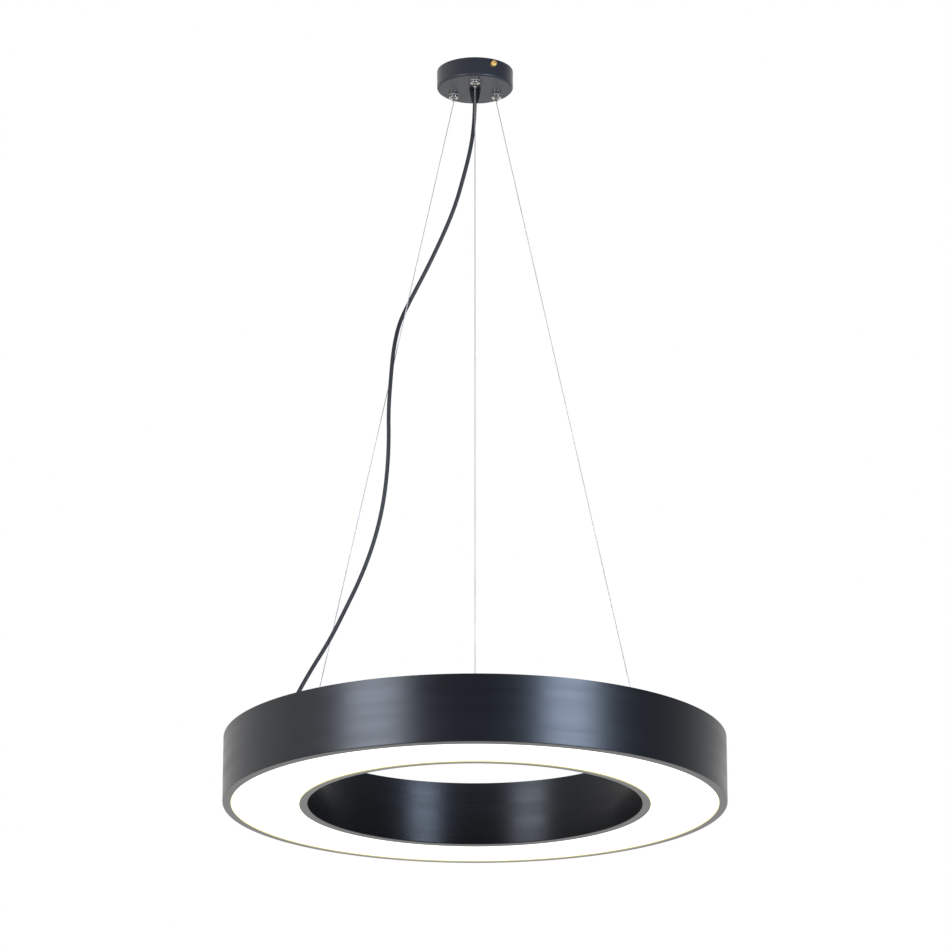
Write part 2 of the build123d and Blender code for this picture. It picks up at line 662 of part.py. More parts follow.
# Power cord
cord_radii = arc_radii(cord_points)
power_cord, cord_length = tube_along(cord_points, Circle(CORD_D / 2), cord_radii)
save("power_cord", power_cord)

# Ring housing
save("outer_wall", ring_wall(OUTER_R, WALL_H, -1))
save("inner_wall", ring_wall(INNER_R, INNER_H, 1))
save("diffuser", annulus(DIFFUSER_GAP, DIFFUSER_T, BOTTOM_Z + WALL_T))
save("top_cover", top_cover(ring_gland))
cover_screw = pan_screw(M4_D, COVER_T + TAB_T + SCREW_PAST, M4_HEAD_D, M4_HEAD_H)
cover_spots = [(r, a) for a in TAB_ANGLES for r in (OUTER_TAB_R, INNER_TAB_R)]
save("cover_screws", *[placed(cover_screw, r, a, COVER_TOP) for r, a in cover_spots])

# Wire anchors and the ring's gland
for i, place in enumerate(anchor_places, 1):
    save(f"wire_anchor_{i}", place * wire_anchor())
anchor_nut = hexagon(ANCHOR_AF, STEM_D + 2 * THREAD_GAP, -COVER_T - ANCHOR_NUT_H, -COVER_T)
ferrule = tube(FERRULE_D, WIRE_D + 2 * THREAD_GAP, FERRULE_SEAT - FERRULE_L, FERRULE_SEAT)
save("anchor_nuts", *[place * anchor_nut for place in anchor_places])
save("wire_ferrules", *[place * ferrule for place in anchor_places])
save("ring_gland", ring_gland * gland_body(COVER_T))
save("ring_gland_cap", ring_gland * gland_cap())
save("ring_gland_nut", ring_gland * gland_nut(COVER_T))

# LED tray with its boards
save("led_tray", led_tray(driver_place, outlet_place))
standoff = hexagon(STANDOFF_AF, M4_D + 2 * THREAD_GAP, 0, STANDOFF_L)
save("tray_standoffs", *[placed(standoff, MIDDLE_R, a, TRAY_TOP) for a in STANDOFF_ANGLES])
upper_screw = pan_screw(M4_D, COVER_T + STANDOFF_SCREW, M4_HEAD_D, M4_HEAD_H)
lower_screw = Rot(180, 0, 0) * pan_screw(M4_D, TRAY_T + STANDOFF_SCREW, M4_HEAD_D, M4_HEAD_H)
save("standoff_screws", *[placed(upper_screw, MIDDLE_R, a, COVER_TOP) for a in STANDOFF_ANGLES])
save("tray_screws", *[placed(lower_screw, MIDDLE_R, a, TRAY_BOTTOM) for a in STANDOFF_ANGLES])
save("led_boards", *[Rot(0, 0, a) * led_board() for a in STANDOFF_ANGLES])
save("led_chips", *led_chips())
link = Pos(0, 0, -LINK_T / 2) * Box(LINK_W, BOARD_GAP + 2 * LINK_LAP, LINK_T)
save("board_links", *[placed(link, MIDDLE_R - LINK_OFFSET, a, BOARD_BOTTOM) for a in STANDOFF_ANGLES[1:]])

# LED driver and its leads
save("led_driver", driver_place * led_driver())
ear_screw = pan_screw(M3_D, EAR_T + TRAY_T - EAR_SCREW_SHORT, M3_HEAD_D, M3_HEAD_H)
save("driver_screws", *[driver_place * Pos(0, y, EAR_T) * ear_screw for y in ear_places()])
detour = Rot(0, 0, LEAD_DETOUR_ANGLE + LAMP_TURN) * Pos(MIDDLE_R + LEAD_DETOUR, 0, TRAY_TOP + DRIVER_H / 2)
input_points = [
    (ring_gland * Pos(0, 0, -CORD_END)).position,
    (ring_gland * Pos(0, 0, -CORD_END - LEAD_DIP)).position,
    detour.position,
    (driver_place * Pos(0, -DRIVER_L / 2 - LEAD_STRAIGHT, DRIVER_H / 2)).position,
    (driver_place * Pos(0, -DRIVER_L / 2, DRIVER_H / 2)).position,
]
save("driver_input_lead", lead(input_points, LEAD_D, arc_radii(input_points)))
output_points = [
    (driver_place * Pos(0, DRIVER_L / 2, DRIVER_H / 2)).position,
    (driver_place * Pos(0, DRIVER_L / 2 + LEAD_STRAIGHT, DRIVER_H / 2)).position,
    (outlet_place * Pos(0, 0, DRIVER_H / 2)).position,
    (outlet_place * Pos(0, 0, -TRAY_T)).position,
]
save("driver_output_lead", lead(output_points, LEAD_D, arc_radii(output_points)))

print("cord radii", [round(radius, 1) for radius in cord_radii])
print("cord length", round(cord_length, 1), "volume over section times length",
      round(power_cord.volume / (math.pi * CORD_D ** 2 / 4 * cord_length), 4))
print("least gap between spring turns", round(spring_gap, 2))
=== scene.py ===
import logging
import math
from dataclasses import dataclass
from enum import Enum
from typing import Any, Callable, Optional, Sequence, Union

import bmesh
import bpy
from mathutils import Matrix, Vector


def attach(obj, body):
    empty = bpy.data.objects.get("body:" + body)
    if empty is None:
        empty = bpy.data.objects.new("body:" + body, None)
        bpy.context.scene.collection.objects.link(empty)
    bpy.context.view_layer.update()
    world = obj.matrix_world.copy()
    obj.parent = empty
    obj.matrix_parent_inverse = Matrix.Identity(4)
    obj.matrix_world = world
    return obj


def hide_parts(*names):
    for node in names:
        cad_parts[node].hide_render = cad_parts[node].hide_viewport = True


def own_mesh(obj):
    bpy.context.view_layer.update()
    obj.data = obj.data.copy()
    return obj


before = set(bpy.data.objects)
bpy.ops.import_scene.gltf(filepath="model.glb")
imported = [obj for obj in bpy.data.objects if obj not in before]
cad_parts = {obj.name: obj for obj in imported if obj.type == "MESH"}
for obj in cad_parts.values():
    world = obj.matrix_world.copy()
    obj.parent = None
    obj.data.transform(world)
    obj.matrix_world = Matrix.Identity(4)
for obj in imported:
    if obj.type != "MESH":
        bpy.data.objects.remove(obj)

LOG = logging.getLogger("pendant")
MM = 0.001  # a millimetre in metres
FULL_TURN = 2 * math.pi
QUARTER_TURN = math.pi / 2
LAMP_TURN = -28.0  # degrees, of cord, ring and camera against the bracket
WIRE_ANGLES = (242.0, 2.0, 122.0)  # degrees
SHARP_ANGLE = math.radians(38.0)  # edges over this stay sharp in the shading
TOUCHING = 1e-7  # metres
OVERLAP = 0.05  # millimetres by which two shells of one piece run into each other
HEXAGON = 6
NOISE_MIDDLE = 0.5

Colour = tuple[float, float, float]
Point = tuple[float, float, float]
Operand = Union["Value", float]


def operator(operation: str, swapped: bool = False) -> Callable[["Value", Operand], "Value"]:
    """Write an operator of a value.

    Args:
        operation: Blender's name of the Math node's operation.
        swapped: whether the other number comes first.

    Returns:
        The operator's method.
    """
    def method(self: "Value", other: Operand) -> "Value":
        """Add the operation's Math node."""
        return self.recipe.maths(operation, *((other, self) if swapped else (self, other)))
    return method


class Value:
    """A number in a material's node tree, which takes Python's operators."""

    def __init__(self, recipe: "Recipe", socket: bpy.types.NodeSocket) -> None:
        """Wrap one output socket of a recipe."""
        self.recipe = recipe
        self.socket = socket

    __add__ = operator("ADD")
    __radd__ = operator("ADD", swapped=True)
    __sub__ = operator("SUBTRACT")
    __rsub__ = operator("SUBTRACT", swapped=True)
    __mul__ = operator("MULTIPLY")
    __rmul__ = operator("MULTIPLY", swapped=True)
    __pow__ = operator("POWER")
    __rpow__ = operator("POWER", swapped=True)
    __gt__ = operator("GREATER_THAN")
    __lt__ = operator("LESS_THAN")


class Recipe:
    """The node tree of one material or of the world."""

    def __init__(self, tree: bpy.types.NodeTree) -> None:
        """Start from an empty tree."""
        self.tree = tree
        tree.nodes.clear()

    def add(self, kind: str, settings: Optional[dict[str, Any]] = None,
            inputs: Optional[dict[str, Any]] = None) -> bpy.types.Node:
        """Add any node.

        Args:
            kind: Blender's name of the node's type.
            settings: properties of the node, set first.
            inputs: values or links, by the socket's identifier or name.

        Returns:
            The new node.
        """
        node = self.tree.nodes.new(kind)
        for key, value in (settings or {}).items():
            setattr(node, key, value)
        sockets = {socket.identifier: socket for socket in node.inputs}
        for key, value in (inputs or {}).items():
            self._feed(sockets.get(key) or node.inputs[key], value)
        return node

    def _feed(self, socket: bpy.types.NodeSocket, value: Any) -> None:
        """Link or set one input socket.

        Args:
            socket: the input.
            value: a number of this recipe, an output socket, a colour or a plain value.
        """
        if isinstance(value, Value):
            self.tree.links.new(value.socket, socket)
        elif isinstance(value, bpy.types.NodeSocket):
            self.tree.links.new(value, socket)
        elif isinstance(value, tuple) and socket.type == "RGBA":
            socket.default_value = (*value, 1.0)
        else:
            socket.default_value = value

    def value(self, node: bpy.types.Node, output: str) -> Value:
        """One output of a node as a number."""
        return Value(self, node.outputs[output])

    def maths(self, operation: str, left: Operand, right: Operand) -> Value:
        """One Math node on two numbers."""
        node = self.add("ShaderNodeMath", {"operation": operation}, {"Value": left, "Value_001": right})
        return Value(self, node.outputs[0])

    def blend(self, share: Operand, first: Any, second: Any) -> bpy.types.NodeSocket:
        """Mix two colours.

        Args:
            share: the second colour's share.
            first: a colour or a colour socket.
            second: a colour or a colour socket.

        Returns:
            The socket of the mixed colour.
        """
        node = self.add("ShaderNodeMix", {"data_type": "RGBA"},
                        {"Factor_Float": share, "A_Color": first, "B_Color": second})
        return next(socket for socket in node.outputs if socket.identifier == "Result_Color")

    def place(self) -> bpy.types.NodeSocket:
        """The place on the object, in metres."""
        return self.add("ShaderNodeTexCoord").outputs["Object"]

    def axes(self) -> tuple[Value, Value]:
        """The place along X and along Y, in metres."""
        parts = self.add("ShaderNodeSeparateXYZ", {}, {"Vector": self.place()})
        return self.value(parts, "X"), self.value(parts, "Y")

    def noise(self, scale: Union[float, Point], detail: float = 3.0, roughness: float = 0.5) -> Value:
        """Noise from 0 to 1 over the object.

        Args:
            scale: cycles per metre, or those along each axis.
            detail: octaves of finer noise.
            roughness: share of the finer noise.

        Returns:
            The noise.
        """
        scales = scale if isinstance(scale, tuple) else (scale, scale, scale)
        mapping = self.add("ShaderNodeMapping", {"vector_type": "POINT"},
                           {"Vector": self.place(), "Scale": scales})
        node = self.add("ShaderNodeTexNoise", {"noise_dimensions": "3D"}, {
            "Vector": mapping.outputs[0], "Scale": 1.0, "Detail": detail, "Roughness": roughness})
        return Value(self, node.outputs[0])

    def eased(self, guide: bpy.types.NodeSocket, start: float, end: float, low: float, high: float) -> Value:
        """Number that passes smoothly from one level to another.

        Args:
            guide: what the number follows.
            start: where the guide leaves the first level.
            end: where it reaches the second.
            low: the first level.
            high: the second level.

        Returns:
            The number.
        """
        node = self.add("ShaderNodeMapRange", {"interpolation_type": "SMOOTHSTEP"}, {
            "Value": guide, "From Min": start, "From Max": end, "To Min": low, "To Max": high})
        return self.value(node, "Result")

    def bump(self, height: Value, strength: float, depth: float) -> bpy.types.NodeSocket:
        """Normal that follows a height from 0 to 1, over a depth in metres."""
        node = self.add("ShaderNodeBump", {}, {"Strength": strength, "Distance": depth, "Height": height})
        return node.outputs["Normal"]

    def surface(self, inputs: dict[str, Any]) -> None:
        """Principled surface with these inputs, joined to the output."""
        shader = self.add("ShaderNodeBsdfPrincipled", {}, inputs)
        self.add("ShaderNodeOutputMaterial", {}, {"Surface": shader.outputs[0]})


class Grain(Enum):
    """Directions of a metal's fine marks."""

    LEVEL = (14.0, 14.0, 2600.0)
    UPRIGHT = (2600.0, 2600.0, 40.0)
    EVEN = (1500.0, 1500.0, 1500.0)


@dataclass(frozen=True)
class Finish:
    """A named finish that becomes one material, made once."""

    name: str

    def material(self) -> bpy.types.Material:
        """Make the finish's material on first use.

        Returns:
            The material.
        """
        made = bpy.data.materials.get(self.name)
        if made is None:
            made = bpy.data.materials.new(self.name)
            made.use_nodes = True
            self.fill(Recipe(made.node_tree))
        return made

    def fill(self, recipe: Recipe) -> None:
        """Write the finish's nodes."""
        raise NotImplementedError


@dataclass(frozen=True)
class SatinLacquer(Finish):
    """Dark lacquer on sheet metal, with faint marks that run along the sheet."""

    dark: Colour = (0.0040, 0.0048, 0.0064)
    light: Colour = (0.0062, 0.0072, 0.0092)
    roughness: float = 0.33
    sheen: float = 0.35
    grain: Grain = Grain.LEVEL
    streaking: float = 0.16
    streak_scale: Point = (3.0, 3.0, 70.0)
    clouding: float = 0.06
    cloud_scale: float = 9.0
    marking: float = 0.05
    mark_share: float = 0.7
    peel_scale: float = 700.0
    relief: float = 0.05
    relief_depth: float = 0.00008

    def fill(self, recipe: Recipe) -> None:
        """Cloudy base colour, uneven gloss, fine marks and a little lacquer texture.

        Args:
            recipe: the material's nodes.
        """
        cloud = recipe.noise(self.cloud_scale, detail=4.0)
        streaks = recipe.noise(self.streak_scale, detail=2.0)
        marks = recipe.noise(self.grain.value, detail=2.0, roughness=0.6)
        peel = recipe.noise(self.peel_scale, detail=2.0)
        height = self.mark_share * marks + (1 - self.mark_share) * peel
        clouded = self.clouding * (cloud - NOISE_MIDDLE)
        streaked = self.streaking * (streaks - NOISE_MIDDLE)
        marked = self.marking * (marks - NOISE_MIDDLE)
        recipe.surface({
            "Base Color": recipe.blend(cloud, self.dark, self.light),
            "Roughness": self.roughness + (clouded + streaked + marked),
            "Specular IOR Level": self.sheen,
            "Normal": recipe.bump(height, self.relief, self.relief_depth),
        })


@dataclass(frozen=True)
class PaintedGlowEdge(Finish):
    """Cut edge of a lip, with a painted yellow glow that stands for the opal sheet's light on it."""

    # painted light: these emission colours make the edge glow as if the opal sheet lit it
    glow: Colour = (0.62, 0.57, 0.27)
    faint: Colour = (0.50, 0.46, 0.21)
    body: Colour = (0.10, 0.095, 0.06)
    roughness: float = 0.45
    clouding: float = 0.1
    cloud_scale: float = 40.0
    strength: float = 1.0

    def fill(self, recipe: Recipe) -> None:
        """Uneven yellowish painted glow over a dull edge.

        Args:
            recipe: the material's nodes.
        """
        cloud = recipe.noise(self.cloud_scale)
        recipe.surface({
            "Base Color": self.body,
            "Roughness": self.roughness + self.clouding * cloud,
            "Emission Color": recipe.blend(cloud, self.glow, self.faint),
            "Emission Strength": self.strength,
        })


@dataclass(frozen=True)
class BareMetal(Finish):
    """Plated, drawn or turned metal."""

    tint: Colour = (0.6, 0.6, 0.6)
    shade: Colour = (0.4, 0.4, 0.4)
    roughness: float = 0.25
    spread: float = 0.12
    grain: Grain = Grain.EVEN
    relief: float = 0.04
    bareness: float = 1.0
    cloud_scale: float = 160.0
    mark_middle: float = 0.4
    relief_depth: float = 0.00005

    def fill(self, recipe: Recipe) -> None:
        """Tint that darkens in clouds, with fine marks in the gloss and the relief.

        Args:
            recipe: the material's nodes.
        """
        cloud = recipe.noise(self.cloud_scale, detail=4.0)
        marks = recipe.noise(self.grain.value, roughness=0.6)
        recipe.surface({
            "Base Color": recipe.blend(cloud, self.tint, self.shade),
            "Metallic": self.bareness,
            "Roughness": self.roughness + self.spread * (marks - self.mark_middle),
            "Normal": recipe.bump(marks, self.relief, self.relief_depth),
        })


@dataclass(frozen=True)
class MouldedPlastic(Finish):
    """Moulded plastic with a fine spark-eroded grain."""

    tint: Colour = (0.5, 0.5, 0.5)
    shade: Colour = (0.4, 0.4, 0.4)
    roughness: float = 0.45
    grain_scale: float = 1800.0
    relief: float = 0.12
    sheen: float = 0.5
    cloud_scale: float = 60.0
    dulling: float = 0.12
    relief_depth: float = 0.00006

    def fill(self, recipe: Recipe) -> None:
        """Slightly clouded colour over a grain that also dulls the gloss.

        Args:
            recipe: the material's nodes.
        """
        cloud = recipe.noise(self.cloud_scale)
        grain = recipe.noise(self.grain_scale, detail=2.0, roughness=0.55)
        recipe.surface({
            "Base Color": recipe.blend(cloud, self.tint, self.shade),
            "Roughness": self.roughness + self.dulling * (grain - NOISE_MIDDLE),
            "Specular IOR Level": self.sheen,
            "Normal": recipe.bump(grain, self.relief, self.relief_depth),
        })


@dataclass(frozen=True)
class OpalSheet(Finish):
    """Lit opal sheet, with a painted yellow glow where its edge meets the lips."""

    glow: Colour = (1.0, 1.0, 1.0)
    # painted light: this yellow edge colour stands for the lit line where the sheet meets the lips
    edge: Colour = (0.96, 0.93, 0.58)
    inner_edge: float = 0.2100
    outer_edge: float = 0.2890
    edge_width: float = 0.0002
    strength: float = 1.25
    body: Colour = (0.90, 0.90, 0.89)
    shade: Colour = (0.86, 0.86, 0.85)
    roughness: float = 0.42
    clouding: float = 0.06
    cloud_scale: float = 25.0

    def fill(self, recipe: Recipe) -> None:
        """Even glow, with a painted yellow rim chosen by the distance to the ring's axis.

        Args:
            recipe: the material's nodes.
        """
        x, y = recipe.axes()
        radius = (x * x + y * y) ** 0.5
        # painted glow rim along both lips
        painted_glow_rim = (radius < self.inner_edge + self.edge_width) + (radius > self.outer_edge - self.edge_width)
        cloud = recipe.noise(self.cloud_scale, detail=2.0)
        recipe.surface({
            "Base Color": recipe.blend(cloud, self.body, self.shade),
            "Roughness": self.roughness + self.clouding * cloud,
            "Emission Color": recipe.blend(painted_glow_rim, self.glow, self.edge),
            "Emission Strength": self.strength,
        })


@dataclass(frozen=True)
class CoreColours(Finish):
    """Insulation of three cores side by side, told apart across the bracket."""

    left: Colour = (0.16, 0.065, 0.03)
    middle: Colour = (0.10, 0.34, 0.06)
    right: Colour = (0.03, 0.13, 0.42)
    border: float = 0.0007
    roughness: float = 0.38
    dulling: float = 0.08
    grain_scale: float = 900.0
    relief: float = 0.05
    relief_depth: float = 0.00004

    def fill(self, recipe: Recipe) -> None:
        """Colour from the side of the bracket that a core lies on.

        Args:
            recipe: the material's nodes.
        """
        x, _ = recipe.axes()
        outer = recipe.blend(x > 0.0, self.left, self.right)
        inside = (x > -self.border) * (x < self.border)
        grain = recipe.noise(self.grain_scale, detail=2.0)
        recipe.surface({
            "Base Color": recipe.blend(inside, outer, self.middle),
            "Roughness": self.roughness + self.dulling * grain,
            "Normal": recipe.bump(grain, self.relief, self.relief_depth),
        })


BLACK_LACQUER = SatinLacquer("satin_black_lacquer")
# painted light: the inner wall's copy of the black lacquer has a lighter base, lifting its shaded parts
INNER_LACQUER_PAINTED_LIGHT = SatinLacquer("inner_satin_black_painted_light", (0.0088, 0.0092, 0.0106), (0.0114, 0.0120, 0.0135),
                             roughness=0.28, sheen=0.21)
# painted sheen: the lips carry the walls' black paint made light grey, standing for the white floor's
# reflection at a grazing angle
LIP_LACQUER_PAINTED_SHEEN = SatinLacquer("lip_lacquer_painted_sheen", (0.130, 0.131, 0.130), (0.150, 0.151, 0.150),
                           roughness=0.36, sheen=0.75, grain=Grain.EVEN, streaking=0.05)
# painted light: the canopy's copy of the black lacquer is several times lighter, standing for the light on
# the canopy
CANOPY_LACQUER_PAINTED_LIGHT = SatinLacquer("canopy_black_painted_light", (0.0260, 0.0281, 0.0342), (0.0312, 0.0333, 0.0394),
                              sheen=0.36, grain=Grain.EVEN, streaking=0.04)
COVER_LACQUER = SatinLacquer("cover_black_lacquer", roughness=0.46, grain=Grain.EVEN, streaking=0.0)
BLACK_SCREW = SatinLacquer("black_screw_finish", roughness=0.30, sheen=0.5, grain=Grain.EVEN, streaking=0.0)
# lip edges with a painted glow, standing for the opal sheet's light
LIP_EDGE_PAINTED_GLOW = PaintedGlowEdge("lip_edge_painted_glow")
NICKEL = BareMetal("nickel_plate", (0.50, 0.47, 0.425), (0.38, 0.36, 0.33),
                   roughness=0.17, spread=0.08)
# painted reflection: the nuts' copy of the nickel is lighter and partly matt, standing for bright reflections
# in their facets
NICKEL_PAINTED_REFLECTION = BareMetal("nickel_plate_painted_reflection", (0.80, 0.75, 0.67), (0.62, 0.585, 0.53),
                        roughness=0.18, spread=0.06, relief=0.01, bareness=0.6)
ZINC = BareMetal("zinc_plate", (0.55, 0.56, 0.58), (0.42, 0.43, 0.46), roughness=0.34, spread=0.18)
BRIGHT_STEEL = BareMetal("polished_steel", (0.60, 0.60, 0.61), (0.48, 0.48, 0.50),
                         roughness=0.20, spread=0.10)
WIRE_STEEL = BareMetal("drawn_wire_steel", (0.71, 0.69, 0.67), (0.59, 0.575, 0.56),
                       roughness=0.66, grain=Grain.UPRIGHT)
BRASS = BareMetal("turned_brass", (1.0, 0.70, 0.24), (0.98, 0.58, 0.15),
                  roughness=0.42, spread=0.10, bareness=0.5)
SHEET_ALUMINIUM = BareMetal("rolled_aluminium", (0.74, 0.75, 0.77), (0.64, 0.65, 0.68),
                            roughness=0.33, spread=0.16)
BLACK_NYLON = MouldedPlastic("moulded_black_nylon", (0.004, 0.004, 0.005), (0.007, 0.007, 0.008),
                             roughness=0.40, sheen=0.3)
BLACK_JACKET = MouldedPlastic("black_cord_jacket", (0.010, 0.010, 0.0115), (0.017, 0.017, 0.0195),
                              roughness=0.50, grain_scale=1200.0, relief=0.10)
WHITE_NYLON = MouldedPlastic("white_nylon", (0.78, 0.78, 0.75), (0.71, 0.71, 0.68), roughness=0.40)
WHITE_LEAD = MouldedPlastic("white_lead_jacket", (0.74, 0.74, 0.72), (0.66, 0.66, 0.64),
                            roughness=0.42, grain_scale=900.0, relief=0.06)
BOARD_LACQUER = MouldedPlastic("board_lacquer", (0.82, 0.82, 0.80), (0.74, 0.75, 0.73),
                               roughness=0.32, grain_scale=2400.0, relief=0.05)
CHIP_RESIN = MouldedPlastic("chip_resin", (0.80, 0.62, 0.16), (0.70, 0.52, 0.11),
                            roughness=0.28, grain_scale=2400.0, relief=0.05)
OPAL = OpalSheet("lit_opal_sheet")
CORES = CoreColours("core_insulation")


class Form:
    """A shape in the making, in millimetres, shaped by Blender's mesh operators."""

    crown: float = 0.2
    crown_past: float = 0.5
    crown_steps: int = 48
    bevelled_angle: float = math.radians(35.0)
    side_tilt: float = 0.5
    coil_steps: int = 32
    coil_sides: int = 10

    def __init__(self, bm: Optional[bmesh.types.BMesh] = None) -> None:
        """Start with nothing, or with a shape."""
        self.bm = bm or bmesh.new()

    def turned(self, corners: Sequence[tuple[float, float]], rounds: dict[int, float], steps: int,
               segments: int = 4) -> "Form":
        """Turn a profile about Z.

        Args:
            corners: the profile's (radius, height) corners.
            rounds: radius of each rounded corner, by its number.
            steps: steps of the turn.
            segments: segments of each rounding.

        Returns:
            This form, closed.
        """
        points = [self.bm.verts.new((radius * MM, 0.0, height * MM)) for radius, height in corners]
        self.bm.faces.new(points)
        for number, radius in rounds.items():
            bmesh.ops.bevel(self.bm, geom=[points[number]], offset=radius * MM, offset_type="OFFSET",
                            segments=segments, profile=0.5, affect="VERTICES", material=-1)
        bmesh.ops.delete(self.bm, geom=self.bm.faces[:], context="FACES_ONLY")
        axis = [edge for edge in self.bm.edges if all(abs(vert.co.x) < TOUCHING for vert in edge.verts)]
        bmesh.ops.delete(self.bm, geom=axis, context="EDGES")
        bmesh.ops.spin(self.bm, geom=self.bm.verts[:] + self.bm.edges[:], cent=(0, 0, 0), axis=(0, 0, 1),
                       angle=FULL_TURN, steps=steps, use_merge=True)
        return self._closed()

    def prism(self, sides: int, radius: float, low: float, high: float,
              tip: Optional[float] = None) -> "Form":
        """Prism or cone on Z.

        Args:
            sides: sides of the section.
            radius: the section's corners from the axis, below.
            low: height of the lower end.
            high: height of the upper end.
            tip: the corners from the axis above, where that differs.

        Returns:
            This form.
        """
        top = radius if tip is None else tip
        made = bmesh.ops.create_cone(self.bm, cap_ends=True, segments=sides, radius1=radius * MM,
                                     radius2=top * MM, depth=(high - low) * MM)
        bmesh.ops.translate(self.bm, verts=made["verts"], vec=(0, 0, (low + high) / 2 * MM))
        return self

    def hexagon(self, corner: float, bore: float, low: float, high: float) -> "Form":
        """Hexagonal ring on Z with turned-off corners and a round bore.

        Args:
            corner: the hexagon's corners from the axis.
            bore: radius of the bore.
            low: height of the lower end.
            high: height of the upper end.

        Returns:
            This form.
        """
        tilt = math.pi / HEXAGON
        flat = corner * math.cos(tilt) - self.crown
        rise = (corner - flat) * math.tan(tilt)
        past = corner + self.crown_past
        slope = self.crown_past * math.tan(tilt)
        ring = Form().turned([
            (bore, low), (flat, low), (past, low + rise + slope), (past, high - rise - slope), (flat, high),
            (bore, high),
        ], {}, self.crown_steps)
        self.prism(HEXAGON, corner, low, high).moved(Matrix.Rotation(tilt, 4, "Z"))
        return self._combined("INTERSECT", ring)

    def softened(self, width: float) -> "Form":
        """Bevel every sharp edge.

        Args:
            width: the bevel's width.

        Returns:
            This form.
        """
        edges = [edge for edge in self.bm.edges
                 if len(edge.link_faces) == 2 and edge.calc_face_angle() > self.bevelled_angle]
        bmesh.ops.bevel(self.bm, geom=edges, offset=width * MM, offset_type="OFFSET", segments=2,
                        profile=0.5, affect="EDGES", material=-1, clamp_overlap=True)
        return self

    def ribbed(self, groove: float, depth: float) -> "Form":
        """Raise each upright side face inside a groove.

        Args:
            groove: width of the groove's half.
            depth: height of the rib.

        Returns:
            This form.
        """
        sides = [face for face in self.bm.faces if abs(face.normal.z) < self.side_tilt]
        bmesh.ops.inset_individual(self.bm, faces=sides, thickness=groove * MM, depth=depth * MM,
                                   use_even_offset=True)
        return self

    def wound(self, radius: float, wire: float, low: float, pitch: float, turns: int) -> "Form":
        """Coil of round wire about Z.

        Args:
            radius: the wire's middle from the axis.
            wire: the wire's diameter.
            low: height of the wire's middle at its lower end.
            pitch: rise of each turn.
            turns: number of turns.

        Returns:
            This form, closed.
        """
        steps = self.coil_steps * turns
        ring = bmesh.ops.create_circle(self.bm, cap_ends=False, radius=wire / 2 * MM,
                                       segments=self.coil_sides)
        stand = Matrix.Translation((radius * MM, 0, low * MM)) @ Matrix.Rotation(QUARTER_TURN, 4, "X")
        bmesh.ops.transform(self.bm, matrix=stand, verts=ring["verts"])
        start = self.bm.edges[:]
        swept = bmesh.ops.spin(self.bm, geom=self.bm.verts[:] + start, cent=(0, 0, 0), axis=(0, 0, 1),
                               dvec=(0, 0, pitch * turns / steps * MM), angle=FULL_TURN * turns, steps=steps)
        last = [item for item in swept["geom_last"] if isinstance(item, bmesh.types.BMEdge)]
        for end in (start, last):
            bmesh.ops.contextual_create(self.bm, geom=end)
        return self._closed()

    def block(self, size: Point, centre: Point) -> "Form":
        """Rectangular block.

        Args:
            size: lengths along the axes.
            centre: the block's middle.

        Returns:
            This form.
        """
        made = bmesh.ops.create_cube(self.bm, size=MM)
        bmesh.ops.scale(self.bm, vec=size, verts=made["verts"])
        bmesh.ops.translate(self.bm, vec=Vector(centre) * MM, verts=made["verts"])
        return self

    def cut(self, *cutters: "Form") -> "Form":
        """Take other forms away from this one."""
        return self._combined("DIFFERENCE", *cutters)

    def _combined(self, operation: str, *others: "Form") -> "Form":
        """Combine this form with others.

        Args:
            operation: Blender's name of the Boolean operation.
            others: the other forms, which end here.

        Returns:
            This form.
        """
        blank = bpy.data.objects.new("blank", self.mesh("blank"))
        tools = [bpy.data.objects.new("tool", other.mesh("tool")) for other in others]
        for item in (blank, *tools):
            bpy.context.scene.collection.objects.link(item)
        for tool in tools:
            step = blank.modifiers.new("combined", "BOOLEAN")
            step.operation = operation
            step.solver = "EXACT"
            step.object = tool
        bpy.context.view_layer.update()
        result = bpy.data.meshes.new_from_object(blank.evaluated_get(bpy.context.evaluated_depsgraph_get()))
        for item in (blank, *tools):
            used = item.data
            bpy.data.objects.remove(item)
            bpy.data.meshes.remove(used)
        self.bm = bmesh.new()
        return self.taken(result)

    def _closed(self) -> "Form":
        """Merge doubles and turn the faces outwards.

        Returns:
            This form.
        """
        bmesh.ops.remove_doubles(self.bm, verts=self.bm.verts[:], dist=TOUCHING)
        bmesh.ops.recalc_face_normals(self.bm, faces=self.bm.faces[:])
        return self

    def moved(self, place: Matrix) -> "Form":
        """Put the form in its place."""
        bmesh.ops.transform(self.bm, matrix=place, verts=self.bm.verts[:])
        return self

    def repeated(self, *places: Matrix) -> "Form":
        """A form of separate copies of this one, in their places."""
        return Form().joined(*[Form(self.bm.copy()).moved(place) for place in places])

    def taken(self, mesh: bpy.types.Mesh) -> "Form":
        """Take in a mesh, which ends here, as separate shells.

        Args:
            mesh: the mesh.

        Returns:
            This form.
        """
        self.bm.from_mesh(mesh)
        bpy.data.meshes.remove(mesh)
        return self

    def joined(self, *others: "Form") -> "Form":
        """Take in other forms as separate shells.

        Args:
            others: the other forms, which end here.

        Returns:
            This form.
        """
        for other in others:
            self.taken(other.mesh("joined"))
        return self

    def painted(self, number: int, wanted: Callable[[bmesh.types.BMFace], bool]) -> "Form":
        """Give some faces another of the piece's finishes.

        Args:
            number: the finish's number among the piece's finishes.
            wanted: says whether a face takes it.

        Returns:
            This form.
        """
        self.bm.normal_update()
        for face in self.bm.faces:
            if wanted(face):
                face.material_index = number
        return self

    def mesh(self, name: str) -> bpy.types.Mesh:
        """Write the form to a mesh and end it.

        Args:
            name: the mesh's name.

        Returns:
            The mesh.
        """
        made = bpy.data.meshes.new(name)
        self.bm.to_mesh(made)
        self.bm.free()
        return made

